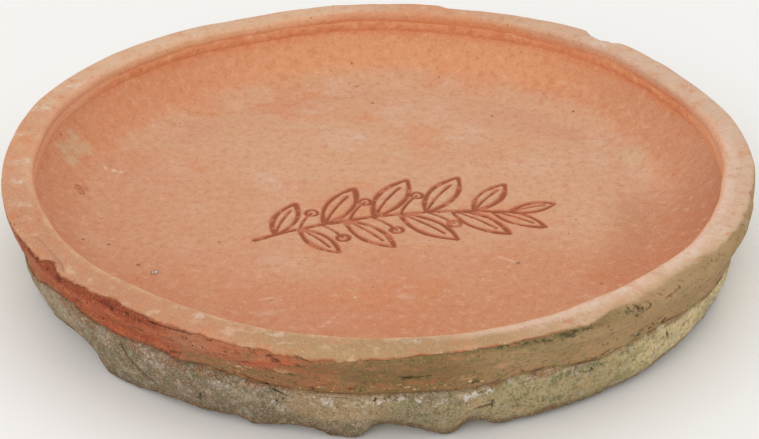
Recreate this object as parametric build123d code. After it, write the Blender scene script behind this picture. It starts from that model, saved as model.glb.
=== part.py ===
from build123d import *
import math
import os

# A saucer of fired clay that stands under a garden pot, 28 cm across. It is built up by hand from
# five members, each pressed on to the last: a floor slab, a coarse foot band lapped round its edge,
# a wall strip that stands across the joint of those two, a coil pressed into the inner corner, and
# a flattened rim coil on top. The firing makes them one body, so nothing moves.
# Millimetres, +Z up. The origin is the centre of the circle that the saucer rests on. The ragged
# lower edge is best seen from the front, which faces -Y.

# Overall sizes
rim_diameter = 281.0
saucer_height = 39.0

# Rim coil: its width, its depth on the outer and the inner side, its worn edges, swell and chips
rim_width = 10.8
rim_outer_depth = 7.0
rim_inner_depth = 3.0
rim_outer_wear = 0.8
rim_inner_wear = 1.5
rim_bulge = 1.0
chip_width = 19.0
chip_depth = 4.0
chip_rise_share = 0.35

# Wall strip: how far each side stands back under the rim coil, its tapers above and below the seam,
# its hollow outer face, its foot, and the crevice where the rim coil has come away from it
outer_lip = 0.9
inner_lip = 1.2
wall_taper = 5.8
wall_foot_taper = 4.2
wall_hollow = 1.0
wall_foot_width = 8.0
crevice_length = 13.0
crevice_thickness = 2.2

# Corner coil: its top edge below the rim, its own lip and its reach over the floor, and the knee of
# its hollow slope as shares of its reach and of its height
corner_drop = 10.0
corner_lip = 1.0
corner_reach = 26.0
corner_knee_shares = (0.62, 0.14)

# Floor slab: its thickness, the hollow under it, the lap at its edge and the bed cut into its top
# for the corner coil and the wall strip
floor_thickness = 11.0
base_hollow = 2.0
lap_height = 4.0
lap_width = 19.0
bed_depth = 0.6

# Foot band: its top seam, the ledge there, its bulge, its taper and the step that carries the wall
seam_height = 20.3
ledge_width = 1.6
ledge_drop = 1.3
band_bulge = 1.6
band_taper = 4.2
wall_step = 2.0
foot_round = 1.0

# Ragged lower edge: the widest and the highest arch between two lumps, and the overrun of the cuts
arch_width = 34.0
arch_height = 6.1
cut_overrun = 3.0

# Chips in the rim: azimuth in degrees from +X, then shares of chip_width and of chip_depth
rim_chip_shares = [
    (-140.0, 1.00, 1.00),
    (-146.5, 0.45, 0.60),
    (-17.0, 0.60, 0.70),
    (47.0, 1.00, 0.95),
    (78.5, 0.80, 0.80),
    (83.0, 0.45, 0.40),
]

# Arches in the lower edge: azimuth in degrees from +X, then shares of arch_width and of arch_height
foot_arch_shares = [
    (-142.5, 1.00, 1.00),
    (-121.5, 0.72, 0.45),
    (-111.5, 0.42, 0.36),
    (-102.0, 0.46, 0.52),
    (-88.0, 0.48, 0.84),
    (-76.0, 0.32, 0.70),
    (-63.0, 1.40, 0.34),
    (-45.0, 1.80, 0.36),
    (-24.0, 1.50, 0.38),
    (-4.0, 1.20, 0.44),
    (13.0, 0.80, 0.62),
    (31.0, 1.25, 0.36),
    (48.0, 0.58, 0.74),
    (66.0, 1.35, 0.40),
    (84.0, 0.50, 0.66),
    (99.0, 1.10, 0.36),
    (117.0, 1.20, 0.42),
    (133.0, 0.62, 0.80),
    (151.0, 1.35, 0.38),
    (169.0, 0.70, 0.60),
    (-174.0, 0.85, 0.44),
    (-161.5, 0.55, 0.52),
]
crevice_azimuths = [-151.0, -155.5]

# Straight steps in the section's curves: an even number at the sides keeps their middle in place
side_steps = 4
slope_steps = 6

# Places that follow from the sizes above
rim_edge_radius = rim_diameter / 2 - rim_bulge
rim_inner_radius = rim_edge_radius - rim_width
floor_top = base_hollow + floor_thickness
bed_height = floor_top - bed_depth
lap_top = base_hollow + lap_height
wall_inner_radius = rim_inner_radius + inner_lip
wall_top_radius = rim_edge_radius - outer_lip
seam_radius = wall_top_radius - wall_taper
corner_height = saucer_height - corner_drop


def on_rim_seat(radius):
    """The point at this radius on the sloping face where the rim coil sits on the wall strip."""
    share = (radius - rim_inner_radius) / rim_width
    depth = rim_inner_depth + share * (rim_outer_depth - rim_inner_depth)
    return (radius, saucer_height - depth)


# Points of the section that two members share, each a radius and a height
seam_edge = (seam_radius, seam_height)
ledge_edge = (seam_radius + ledge_width, seam_height - ledge_drop)
foot_edge = (ledge_edge[0] - band_taper, 0)
wall_foot_outer = (seam_radius - wall_foot_taper, bed_height)
wall_foot_inner = (wall_foot_outer[0] - wall_foot_width, bed_height)
slab_edge = (wall_foot_outer[0] - wall_step, bed_height)
lap_edge = (slab_edge[0] - lap_width, lap_top)
corner_top = (wall_inner_radius, corner_height)
corner_lip_edge = (wall_inner_radius - corner_lip, corner_height)
corner_toe = (corner_lip_edge[0] - corner_reach, floor_top)
corner_toe_foot = (corner_toe[0], bed_height)


def turned(*edges):
    """A full turn about Z of a closed outline, whose edges are drawn as radius and height."""
    outline = Plane.XZ * make_face(edges)
    return revolve(outline, Axis.Z)


def eased(start, knee, end, steps):
    """A curve drawn towards its knee, in short straight steps, so that it turns into plain cones."""
    curve = Bezier(start, knee, end)
    inner_points = [curve @ (step / steps) for step in range(1, steps)]
    return Polyline(start, *inner_points, end)


def bowed(start, end, bow):
    """A curve whose middle stands this far to the left of the straight way to its end."""
    way = Vector(*end) - Vector(*start)
    middle = Vector(*start) + way / 2
    side = way.normalized().rotate(Axis.Z, 90)
    return eased(start, middle + side * (2 * bow), end, side_steps)


def at_azimuth(azimuth, shape):
    """The shape, made in the XZ plane, turned about Z to this azimuth."""
    return Rot(0, 0, azimuth) * shape


def make_floor_slab():
    """A flat disc, hollow under its middle, rebated to lap over the foot band and to bed the wall."""
    points = [
        (0, base_hollow),
        (lap_edge[0], base_hollow),
        lap_edge,
        (slab_edge[0], lap_top),
        slab_edge,
        corner_toe_foot,
        corner_toe,
        (0, floor_top),
    ]
    return turned(Polyline(*points, close=True))


def arch_cutter(width, height):
    """A round bar that lies along the radius and bites an arch of this size out of the lower edge."""
    bar_radius = (width**2 / 4 + height**2) / (2 * height)
    fade_length = foot_edge[0] - lap_edge[0] - lap_width / 2
    bar_length = fade_length + ledge_width + cut_overrun
    tilt = math.degrees(math.atan2(height, fade_length))
    bar = Rot(0, 90, 0) * Cylinder(bar_radius, 2 * bar_length)
    seated = Rot(0, -tilt, 0) * Pos(0, 0, height - bar_radius) * bar
    return Pos(foot_edge[0], 0, 0) * seated


def make_foot_band():
    """The coarse band round the base: a stepped ring with a bulging side and a ragged lower edge."""
    inner_points = [
        foot_edge,
        (lap_edge[0] + foot_round, 0),
        (lap_edge[0], foot_round),
        lap_edge,
        (slab_edge[0], lap_top),
        slab_edge,
        wall_foot_outer,
        seam_edge,
        ledge_edge,
    ]
    band = turned(Polyline(*inner_points), bowed(ledge_edge, foot_edge, band_bulge))
    for azimuth, width_share, height_share in foot_arch_shares:
        cutter = arch_cutter(arch_width * width_share, arch_height * height_share)
        band -= at_azimuth(azimuth, cutter)
    return band


def crevice_cutter():
    """A thin bar laid under the rim coil's outer edge, where the two members have come apart."""
    place = on_rim_seat(wall_top_radius)
    bar = Rot(90, 0, 0) * Cylinder(crevice_thickness / 2, crevice_length)
    return Pos(place[0], 0, place[1]) * bar


def make_wall_strip():
    """The strap between the foot band and the rim coil, hollow outside and upright inside."""
    inner_top = on_rim_seat(wall_inner_radius)
    outer_top = on_rim_seat(wall_top_radius)
    foot = Polyline(seam_edge, wall_foot_outer, wall_foot_inner, corner_top, inner_top, outer_top)
    wall = turned(foot, bowed(outer_top, seam_edge, -wall_hollow))
    for azimuth in crevice_azimuths:
        wall -= at_azimuth(azimuth, crevice_cutter())
    return wall


def make_corner_coil():
    """A coil of clay pressed into the corner of floor and wall, drawn out to a hollow slope."""
    reach_share, height_share = corner_knee_shares
    knee_radius = corner_toe[0] + corner_reach * reach_share
    knee_height = floor_top + (corner_height - floor_top) * height_share
    slope = eased(corner_lip_edge, (knee_radius, knee_height), corner_toe, slope_steps)
    back = Polyline(corner_toe, corner_toe_foot, wall_foot_inner, corner_top, corner_lip_edge)
    return turned(back, slope)


def chip_cutter(width, depth):
    """A ball that scoops a shell-shaped chip of this width and depth out of the rim's outer edge."""
    ball_radius = (width**2 / 4 + depth**2) / (2 * depth)
    rise = ball_radius * chip_rise_share
    reach = math.sqrt(ball_radius**2 - rise**2)
    return Pos(rim_edge_radius - depth + reach, 0, saucer_height + rise) * Sphere(ball_radius)


def make_rim_coil():
    """The flattened coil on top, which overhangs the wall on both sides and has lost some chips."""
    side_top = (rim_edge_radius, saucer_height - rim_outer_wear)
    seat_outer = on_rim_seat(rim_edge_radius)
    points = [
        seat_outer,
        on_rim_seat(rim_inner_radius),
        (rim_inner_radius, saucer_height - rim_inner_wear),
        (rim_inner_radius + rim_inner_wear, saucer_height),
        (rim_edge_radius - rim_outer_wear, saucer_height),
        side_top,
    ]
    rim = turned(Polyline(*points), bowed(side_top, seat_outer, rim_bulge))
    for azimuth, width_share, depth_share in rim_chip_shares:
        rim -= at_azimuth(azimuth, chip_cutter(chip_width * width_share, chip_depth * depth_share))
    return rim


pieces = {
    "floor_slab": make_floor_slab(),
    "foot_band": make_foot_band(),
    "wall_strip": make_wall_strip(),
    "corner_coil": make_corner_coil(),
    "rim_coil": make_rim_coil(),
}

os.makedirs("parts", exist_ok=True)
for name, shape in pieces.items():
    export_step(shape, f"parts/{name}.step")
    box = shape.bounding_box()
    print(name, len(shape.solids()), round(shape.volume), "mm3", box.min, box.max)
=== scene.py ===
# %% [markdown]
# The object is a hand-built saucer of fired clay that stands under a garden pot. Its exact solids
# come from the CAD frame. This lesson builds the looks round them: the wobble of a hand-pressed
# piece, its chips and cracks, and the lime, moss and soil of years outdoors.
# Every piece replaces one CAD solid and stays inside the CAD box, so that box is kept here.

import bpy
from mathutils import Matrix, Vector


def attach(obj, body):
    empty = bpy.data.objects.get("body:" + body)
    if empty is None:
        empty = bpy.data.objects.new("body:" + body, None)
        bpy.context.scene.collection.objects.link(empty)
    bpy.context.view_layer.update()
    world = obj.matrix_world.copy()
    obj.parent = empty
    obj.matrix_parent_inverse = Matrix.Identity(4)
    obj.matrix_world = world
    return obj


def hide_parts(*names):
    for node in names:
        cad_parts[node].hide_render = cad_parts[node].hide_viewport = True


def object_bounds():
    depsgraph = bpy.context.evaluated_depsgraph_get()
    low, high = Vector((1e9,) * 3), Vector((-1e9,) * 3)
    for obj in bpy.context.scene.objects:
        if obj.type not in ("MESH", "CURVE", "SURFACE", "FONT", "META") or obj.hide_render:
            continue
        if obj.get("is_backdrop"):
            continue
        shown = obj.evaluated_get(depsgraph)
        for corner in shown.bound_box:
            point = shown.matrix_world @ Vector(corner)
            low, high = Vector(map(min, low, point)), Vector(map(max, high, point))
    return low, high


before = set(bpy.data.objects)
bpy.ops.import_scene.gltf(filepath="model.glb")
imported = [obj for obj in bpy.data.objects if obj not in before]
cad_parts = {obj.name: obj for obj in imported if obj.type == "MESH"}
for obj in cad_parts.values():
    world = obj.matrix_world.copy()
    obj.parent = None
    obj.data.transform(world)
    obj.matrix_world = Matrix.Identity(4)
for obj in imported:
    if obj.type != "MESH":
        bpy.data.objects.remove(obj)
cad_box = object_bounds()
print("CAD solids", sorted(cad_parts), "box", cad_box)

# %% Shared modules and the unit
import math

import bmesh
import bpy
import numpy as np
from mathutils import Color, Vector, kdtree, noise

MM = 0.001
print("drawn in millimetres, built in metres:", MM)

# %% [markdown]
# The camera stands in front of the saucer and looks down on it, as a product photographer does
# across a table. A long lens keeps the near and the far rim alike in size. The place, the tilt and
# the lens come from fitting the rim's ellipse and the thickness of the side.

# %% Camera
CAMERA_PLACE = (0.0011, -0.6223, 0.3596)
CAMERA_TURN_DEG = (60.51, 0.0, 0.07)
LENS_MM = 88.4
SENSOR_MM = 36.0

camera_data = bpy.data.cameras.new("table_camera")
camera_data.lens = LENS_MM
camera_data.sensor_width = SENSOR_MM
camera = bpy.data.objects.new("table_camera", camera_data)
camera.location = CAMERA_PLACE
camera.rotation_euler = [math.radians(turn) for turn in CAMERA_TURN_DEG]
bpy.context.scene.collection.objects.link(camera)
bpy.context.scene.camera = camera
print("camera", CAMERA_PLACE, "lens", LENS_MM)

# %% [markdown]
# The light is a pale studio: a bright even surround, a large soft panel in front at the left that
# lights the side, and a weaker one overhead. Small lamps would draw hard shadows, which fired clay
# in open shade never has.
# The view transform is the plain one, so a colour mixed for the clay is the colour that shows.

# %% Surround and panels
SURROUND_STRENGTH = 0.82
SURROUND_COLOUR = (1.0, 0.985, 0.965, 1.0)
# Panels: name, place, the point it faces, side in metres, watts
PANELS = [
    ("top_panel", (0.18, 0.25, 1.15), (0.0, 0.0, 0.0), 1.1, 2.0),
    ("front_panel", (-0.5, -1.3, 0.75), (0.0, 0.0, 0.02), 0.9, 5.5),
]

scene = bpy.context.scene
scene.view_settings.view_transform = "Standard"
world = bpy.data.worlds.new("pale_surround")
world.use_nodes = True
surround = world.node_tree.nodes["Background"]
surround.inputs["Color"].default_value = SURROUND_COLOUR
surround.inputs["Strength"].default_value = SURROUND_STRENGTH
scene.world = world

for name, place, aim, side, watts in PANELS:
    light = bpy.data.lights.new(name, "AREA")
    light.size = side
    light.energy = watts
    panel = bpy.data.objects.new(name, light)
    panel.location = place
    panel.rotation_euler = (Vector(aim) - Vector(place)).to_track_quat("-Z", "Y").to_euler()
    scene.collection.objects.link(panel)
print("surround", SURROUND_STRENGTH, "panels", [name for name, *_ in PANELS])

# %% [markdown]
# The saucer stands on a plain pale sheet, so large that its ends are never seen. It catches the
# soft shadow under the ragged edge. It belongs to the studio and not to the part, so it is marked
# as a backdrop.

# %% Floor of the studio
FLOOR_SIDE_M = 6.0
FLOOR_COLOUR = (0.92, 0.915, 0.9, 1.0)
FLOOR_ROUGHNESS = 0.9

floor_mesh = bmesh.new()
bmesh.ops.create_grid(floor_mesh, x_segments=1, y_segments=1, size=FLOOR_SIDE_M / 2)
floor_data = bpy.data.meshes.new("studio_floor")
floor_mesh.to_mesh(floor_data)
floor_mesh.free()
studio_floor = bpy.data.objects.new("studio_floor", floor_data)
scene.collection.objects.link(studio_floor)
floor_paint = bpy.data.materials.new("floor_paint")
floor_paint.use_nodes = True
floor_shader = floor_paint.node_tree.nodes["Principled BSDF"]
floor_shader.inputs["Base Color"].default_value = FLOOR_COLOUR
floor_shader.inputs["Roughness"].default_value = FLOOR_ROUGHNESS
floor_data.materials.append(floor_paint)
studio_floor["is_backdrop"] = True
print("floor", FLOOR_SIDE_M, "m")

# %% [markdown]
# The potter makes every member as a ring: a coil, a strap or a slab that goes right round. The
# match for that is the spin. A section is drawn once, as straight or bowed runs, each divided to
# its own spacing, fine where the clay shows and coarse in the joints. It is spun in a few steps,
# the rings are divided, and the new vertices are put back on their circle. That gives the same
# ring as a fine spin in a fraction of the time, with enough vertices to press and chip.

# %% Draw a section
SPIN_STEPS = 60
TOUCH_M = 1e-6


def draw_section(clay, corners, closed):
    """Draws the runs of a section. A corner is a radius, a height, the spacing of the run that
    starts there, and how far out and up the middle of that run is bowed, all in mm."""
    following = corners[1:] + corners[:1] if closed else corners[1:]
    for (radius, height, spacing, out, up), (end_radius, end_height, *_) in zip(corners, following):
        start = Vector((radius, 0, height)) * MM
        end = Vector((end_radius, 0, end_height)) * MM
        way = end - start
        run = clay.edges.new((clay.verts.new(start), clay.verts.new(end)))
        cuts = round(way.length / MM / spacing) - 1
        if cuts < 1:
            continue
        made = bmesh.ops.subdivide_edges(clay, edges=[run], cuts=cuts)["geom_inner"]
        for vertex in made:
            if isinstance(vertex, bmesh.types.BMVert):
                share = (vertex.co - start).dot(way) / way.length_squared
                vertex.co += Vector((out, 0, up)) * (4 * share * (1 - share) * MM)
    bmesh.ops.remove_doubles(clay, verts=clay.verts, dist=TOUCH_M)


print("sections are spun in", SPIN_STEPS, "steps")


# %% Spin it into a ring
def lies_round(edge):
    """Whether the edge runs round the ring, at one height and one radius."""
    first, second = (vertex.co for vertex in edge.verts)
    level = abs(first.z - second.z) < TOUCH_M
    return level and abs(first.xy.length - second.xy.length) < TOUCH_M


def throw_ring(corners, cuts, closed=True):
    """A closed ring, or a disc if the section starts and ends on the axis, with this many cuts
    between two steps of the spin."""
    clay = bmesh.new()
    draw_section(clay, corners, closed)
    full = {"cent": (0, 0, 0), "axis": (0, 0, 1), "angle": 2 * math.pi, "use_merge": True}
    bmesh.ops.spin(clay, geom=clay.verts[:] + clay.edges[:], steps=SPIN_STEPS, **full)
    bmesh.ops.remove_doubles(clay, verts=clay.verts, dist=TOUCH_M)
    around = [edge for edge in clay.edges if lies_round(edge)]
    bmesh.ops.subdivide_edges(clay, edges=around, cuts=cuts)
    step = 2 * math.pi / SPIN_STEPS
    for vertex in clay.verts:
        off_middle = math.atan2(vertex.co.y, vertex.co.x) % step - step / 2
        vertex.co.xy *= math.cos(off_middle) / math.cos(step / 2)
    bmesh.ops.recalc_face_normals(clay, faces=clay.faces)
    return clay


test_ring = throw_ring([(20, 0, 1, 0, 0), (24, 0, 1, 0, 0), (24, 3, 1, 1, 0)], 3)
print("a small ring has", len(test_ring.verts), "vertices, all edges shared by two faces:",
      all(len(edge.link_faces) == 2 for edge in test_ring.edges))
test_ring.free()

# %% [markdown]
# Nothing on a hand-built piece is a true circle. One slow wobble in space moves all the pieces
# alike, so the rings go out of round together and every joint stays shut. A table round the ring
# gives the large bends of this one, and smooth noise, the same in every run, adds the small ones.
# Moving vertices in code suits it, because the wobble has to pass from one piece to the next.

# %% Read and move the clay
def places_of(clay):
    """The place of every vertex, in mm."""
    return np.array([vertex.co for vertex in clay.verts]) / MM


def move_to(clay, places):
    """Puts every vertex at its new place, given in mm."""
    for vertex, place in zip(clay.verts, places * MM):
        vertex.co = place


def polar(places):
    """Radius, azimuth in degrees and height of each place."""
    x, y, height = places.T
    return np.hypot(x, y), np.degrees(np.arctan2(y, x)), height


def from_polar(radius, azimuth, height):
    """Places from radius, azimuth in degrees and height."""
    turn = np.radians(azimuth)
    return np.stack([radius * np.cos(turn), radius * np.sin(turn), height], axis=-1)


print("a quarter turn round the axis:", from_polar(10.0, 90.0, 2.0).round(3))

# %% Noise, soft steps and tables
def swell(places, size, octaves, flatten, shift):
    """Smooth noise from about -1 to 1 at each place. Its swells are this many mm apart, and
    flatten squeezes them in height."""
    grid = places / (size, size, size / flatten) + shift
    return np.array([noise.fractal(place, 1.0, 2.0, octaves) for place in grid])


def rough(places, *layers):
    """Layers of noise added up. A layer is a size, octaves, flatten, a shift and a height in mm."""
    return sum(swell(places, *layer) * height for *layer, height in layers)


def ease(values, low, high):
    """0 below low, 1 above high, and a soft step between them."""
    share = np.clip((values - low) / (high - low), 0.0, 1.0)
    return share * share * (3 - 2 * share)


def near_azimuth(azimuth, middle, fade, full):
    """1 within full degrees of a middle azimuth, soft to 0 at fade degrees."""
    return ease(-np.abs(azimuth - middle), -fade, -full)


def eased_table(azimuth, rows):
    """Reads a table of azimuths and values round the ring, with a soft step between rows."""
    turns, values = (np.array(column) for column in zip(*rows))
    row = np.clip(np.searchsorted(turns, azimuth, "right") - 1, 0, len(turns) - 2)
    share = ease((azimuth - turns[row]) / (turns[row + 1] - turns[row]), 0, 1)
    return values[row] + share * (values[row + 1] - values[row])


print("half way between two rows:", eased_table(np.array([15.0]), [(0, 1.0), (30, 2.0)])[0])

# %% The shared wobble
RIM_TOP = 39.0
WOBBLE_FROM, WOBBLE_FULL = 50, 130
WOBBLE_OUT = (48.0, 2, 0.6, 3.1, 0.2)
WOBBLE_UP = (48.0, 2, 0.6, 17.7, 0.2)
WOBBLE_OUT_MEAN, WOBBLE_UP_MEAN = 0.1, 0.16
# Out of round: azimuth in degrees, then mm outwards
OUT_OF_ROUND = [
    (-180, 0), (-172, 0), (-163, -0.4), (-158, 0), (-150, 1.1), (-140, 1), (-125, 0.2), (-100, 0),
    (-60, 0), (-48, 0.6), (-35, 1.3), (-25, 0.8), (-19, 0.2), (-12, -0.6), (-5, 0), (3, 0),
    (12, 0.2), (20, -0.5), (28, -0.5), (34, 0.2), (42, 1.2), (55, 1.7), (62, 0.7), (70, 0.2),
    (80, 0.3), (92, 0.2), (98, 0), (104, -1.1), (112, -1.7), (118, -1.6), (124, -0.9), (130, -0.2),
    (138, 0.3), (144, 0.8), (152, 1.3), (163, 1.5), (170, 0.9), (176, 0.2), (180, 0),
]
# Sag of the whole ring: azimuth, then mm down at the rim
SAG = [(-180, 0.1), (-60, 0), (60, 0), (100, 0.1), (113, 0.6), (124, 0.1), (180, 0.1)]


def hand_wobble(places):
    """The places moved out of round and out of level, the same way for every piece."""
    radius, azimuth, height = polar(places)
    ring_share = ease(radius, WOBBLE_FROM, WOBBLE_FULL)
    out = eased_table(azimuth, OUT_OF_ROUND) + rough(places, WOBBLE_OUT) - WOBBLE_OUT_MEAN
    up = rough(places, WOBBLE_UP) - WOBBLE_UP_MEAN - eased_table(azimuth, SAG)
    lifted = height + np.clip(height / RIM_TOP, 0, 1) * up * ring_share
    return from_polar(radius + out * ring_share, azimuth, lifted)


def press(places, out, up=0.0):
    """The places wobbled like their neighbours, then moved this far outwards and up."""
    radius, azimuth, height = polar(hand_wobble(places))
    return from_polar(radius + out, azimuth, height + up)


print("wobble of one point", hand_wobble(np.array([[139.0, 0.0, RIM_TOP]]))[0])

# %% [markdown]
# Cracks, scratches and the pressed sprig are all lines drawn into soft or broken clay. A line is a
# row of points in space with a width and a depth. The faces near it are divided first, so that a
# line thinner than the mesh still gets real edges, and then each vertex near it sinks by how close
# it lies to the nearest point. The same share is kept as an attribute for the colour.

# %% Lines in the clay
LINE_POINT_GAP = 0.35
WAVER_SIZE = 7.0


def line_points(corners, width, waver=0.0):
    """Points along a line through these corners, and a width at each that wavers by this share."""
    points, widths = [], []
    for start, end in zip(corners, corners[1:]):
        start, end = Vector(start), Vector(end)
        count = max(1, math.ceil((end - start).length / LINE_POINT_GAP))
        for step in range(count):
            point = start.lerp(end, step / count)
            points.append(point)
            widths.append(width * (1 + waver * noise.noise(point / WAVER_SIZE)))
    return points, widths


def near_lines(lines):
    """A search tree over all the points of these lines, and the width at each point."""
    points = [point for line in lines for point in line[0]]
    widths = [width for line in lines for width in line[1]]
    tree = kdtree.KDTree(len(points))
    for index, point in enumerate(points):
        tree.insert(point, index)
    tree.balance()
    return tree, widths


def divide_near(clay, lines, reach):
    """Divides the faces that lie within reach of a line in two, both ways."""
    tree, _ = near_lines(lines)
    near = set()
    for face in clay.faces:
        if tree.find(face.calc_center_median() / MM)[2] < reach:
            near.update(face.edges)
    bmesh.ops.subdivide_edges(clay, edges=list(near), cuts=1, use_grid_fill=True)


def line_share(places, lines, least=0):
    """How deep each place lies in the nearest line: 1 on it, 0 at its side, then down to least."""
    tree, widths = near_lines(lines)
    found = [tree.find(place) for place in places]
    return np.clip([1 - away / widths[index] for _, index, away in found], least, 1)


test_line = line_points([(0, 0, 0), (3, 0, 0)], 0.8)
test_spots = np.array([[1.4, 0.0, 0.0], [1.4, 2.0, 0.0]])
print("share on a line and off it", line_share(test_spots, [test_line]))

# %% Make the object
SHARP_ANGLE_DEG = 58


def fire(clay, name, cad_node, masks):
    """Turns the clay into a finished piece that stands for its CAD solid, with its masks."""
    data = bpy.data.meshes.new(name)
    clay.to_mesh(data)
    clay.free()
    for mask, values in masks.items():
        kept = data.attributes.new(mask, "FLOAT", "POINT")
        kept.data.foreach_set("value", np.asarray(values, np.float32))
    data.shade_smooth()
    data.set_sharp_from_angle(angle=math.radians(SHARP_ANGLE_DEG))
    piece = bpy.data.objects.new(name, data)
    scene.collection.objects.link(piece)
    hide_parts(cad_node)
    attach(piece, "root")
    triangles = sum(len(face.vertices) - 2 for face in data.polygons)
    print(name, "vertices", len(data.vertices), "triangles", triangles)
    return piece


# %% [markdown]
# The floor is a flat slab, rolled and laid inside the coils. Its middle holds a leafy sprig,
# pressed into the soft clay with a blunt tool. It could be a bump in the material, but a pressed
# line throws a real edge of light, so it is cut into the mesh: the faces near it are divided and
# the line is sunk. The clay that the tool pushed aside stands up a little on both sides.

# %% Draw the sprig
FLOOR_TOP = 13.0
STEM_WIDTH, LEAF_WIDTH, VEIN_WIDTH, BERRY_WIDTH = 1.5, 1.3, 0.85, 1.105
STEM_START, STEM_END, STEM_BOW, STEM_SLOPE_DEG = (-46, -25), (50, -3), 8.0, 13.0
STEM_PARTS = 60
LEAF_FULLNESS, RIB_BOW, RIB_END_SHARE = 0.17, 0.03, 0.78
BERRY_SIZE, BERRY_CORNERS, STALK_BOW = 2.3, 16, 0.8
# Leaves: place along the stem, heading from it in degrees, length in mm
LEAVES = [
    (0.09, 62, 25), (0.28, 56, 30), (0.48, 54, 32), (0.68, 52, 31), (0.87, 46, 25), (0.18, -62, 23),
    (0.37, -60, 27), (0.58, -56, 29), (0.78, -52, 27), (0.94, -44, 23), (1.0, 8, 19),
]
# Berries: place along the stem, heading from it, how far from it
BERRIES = [
    (0.185, 59, 13), (0.38, 55, 15), (0.58, 53, 16), (0.275, -61, 13), (0.475, -58, 14),
    (0.68, -54, 14),
]


def bowed_line(start, end, bow, count=14):
    """Corners of a line from start to end whose middle is bowed to its left by this much."""
    start, end = Vector(start), Vector(end)
    side = (end - start).orthogonal().normalized()
    corners = []
    for step in range(count + 1):
        share = step / count
        corners.append(start.lerp(end, share) + side * (4 * bow * share * (1 - share)))
    return [(*corner, FLOOR_TOP) for corner in corners]


def away_from(base, heading, length):
    """The point this far from a base, in a heading taken from the stem's."""
    turn = math.radians(heading + STEM_SLOPE_DEG)
    return (base[0] + length * math.cos(turn), base[1] + length * math.sin(turn))


def leaf_lines(base, heading, length):
    """A pointed leaf: two bowed sides and a midrib that stops short of the tip."""
    tip = away_from(base, heading, length)
    rib_end = Vector(base).lerp(Vector(tip), RIB_END_SHARE)
    return [
        line_points(bowed_line(base, tip, length * LEAF_FULLNESS), LEAF_WIDTH, 0.5),
        line_points(bowed_line(base, tip, -length * LEAF_FULLNESS), LEAF_WIDTH, 0.5),
        line_points(bowed_line(base, rib_end, length * RIB_BOW), VEIN_WIDTH, 0.4),
    ]


def berry_lines(base, place):
    """A berry on a short stalk."""
    ring = []
    for step in range(BERRY_CORNERS + 1):
        turn = step * 2 * math.pi / BERRY_CORNERS
        x, y = place[0] + BERRY_SIZE * math.cos(turn), place[1] + BERRY_SIZE * math.sin(turn)
        ring.append((x, y, FLOOR_TOP))
    stalk = bowed_line(base, place, STALK_BOW)
    return [line_points(ring, BERRY_WIDTH, 0.3), line_points(stalk, VEIN_WIDTH)]


stem = bowed_line(STEM_START, STEM_END, STEM_BOW, STEM_PARTS)
sprig = [line_points(bowed_line(STEM_START, STEM_END, STEM_BOW, 30), STEM_WIDTH, 0.4)]
for share, heading, length in LEAVES:
    sprig += leaf_lines(stem[round(share * STEM_PARTS)][:2], heading, length)
for share, heading, length in BERRIES:
    base = stem[round(share * STEM_PARTS)][:2]
    sprig += berry_lines(base, away_from(base, heading, length))
print("the sprig has", len(sprig), "lines")

# %% [markdown]
# Every section below lists its corners in mm: radius, height, the spacing of the run that starts
# there, and the bow of that run out and up. A corner that two members share has a name, so the
# sections can't drift apart and the joints stay shut, as they do in fired clay.

# %% Corners that members share
FLOOR_EDGE, FLOOR_CORNER = (102.9, 13), (102.9, 12.4)
LAP_INSIDE, LAP_OUTSIDE, LAP_TOP = (107.6, 6), (126.6, 6), (126.6, 12.4)
COIL_HEEL, WALL_HEEL = (120.6, 12.4), (128.6, 12.4)
SEAM, SIDE_JOINT = (133.4, 19.9), (139.2, 32.1)
print("the seam outside lies at radius and height", SEAM, "and the rim's joint at", SIDE_JOINT)

# %% Form the floor slab
SPRIG_DEPTH, SPRIG_BANK_SHARE, SPRIG_REACH = 0.8, 0.16, 2.1
SCRATCH_DEPTH = 0.3
FLOOR_SECTION = [
    (0, 2, 8, 0, 0),
    (107.6, 2, 4, 0, 0),
    (*LAP_INSIDE, 6, 0, 0),
    (*LAP_OUTSIDE, 6, 0, 0),
    (*LAP_TOP, 6, 0, 0),
    (*FLOOR_CORNER, 1, 0, 0),
    (*FLOOR_EDGE, 1.2, 0, 0),
    (0, FLOOR_TOP, 1, 0, 0),
]
# Scratches: two ends, then the width of the line
SCRATCHES = [
    ([(-103, -19, 13.6), (-98, -25, 13.1)], 0.5),
    ([(44, -37, 13), (50, -41, 13)], 0.8),
    ([(-19, -84, 13), (-14, -76, 13)], 0.5),
    ([(-41, -66, 13), (-37, -65, 13)], 0.6),
    ([(23, -60, 13), (31, -63, 13)], 0.4),
]

floor_clay = throw_ring(FLOOR_SECTION, 6, closed=False)
divide_near(floor_clay, sprig, SPRIG_REACH)
floor_places = places_of(floor_clay)
floor_radius, _, floor_height = polar(floor_places)
on_top = floor_height > FLOOR_TOP - 0.1
floor_face = on_top * ease(floor_radius, FLOOR_EDGE[0], 100)
scratches = [line_points(corners, width) for corners, width in SCRATCHES]
scratched = line_share(floor_places, scratches) * floor_face
pressed = line_share(floor_places, sprig, least=-1)
bank = ease(pressed, -1, -0.45) * ease(pressed, -0.1, -0.45)
groove = (ease(pressed, -0.15, 0.75) - SPRIG_BANK_SHARE * bank) * SPRIG_DEPTH
groove *= 1 + rough(floor_places, (9, 2, 1, 2.0, 0.25))
hollows = rough(floor_places, (26, 2, 1, 5.0, 0.22), (6, 3, 1, 9.0, 0.06)) * floor_face
up = hollows - groove * on_top - scratched * SCRATCH_DEPTH
move_to(floor_clay, press(floor_places, 0, up))
floor_masks = {"pressed": ease(pressed, -0.3, 0.7) * on_top, "scratched": scratched}
floor_slab = fire(floor_clay, "floor_slab_clay", "floor_slab", floor_masks)

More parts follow.
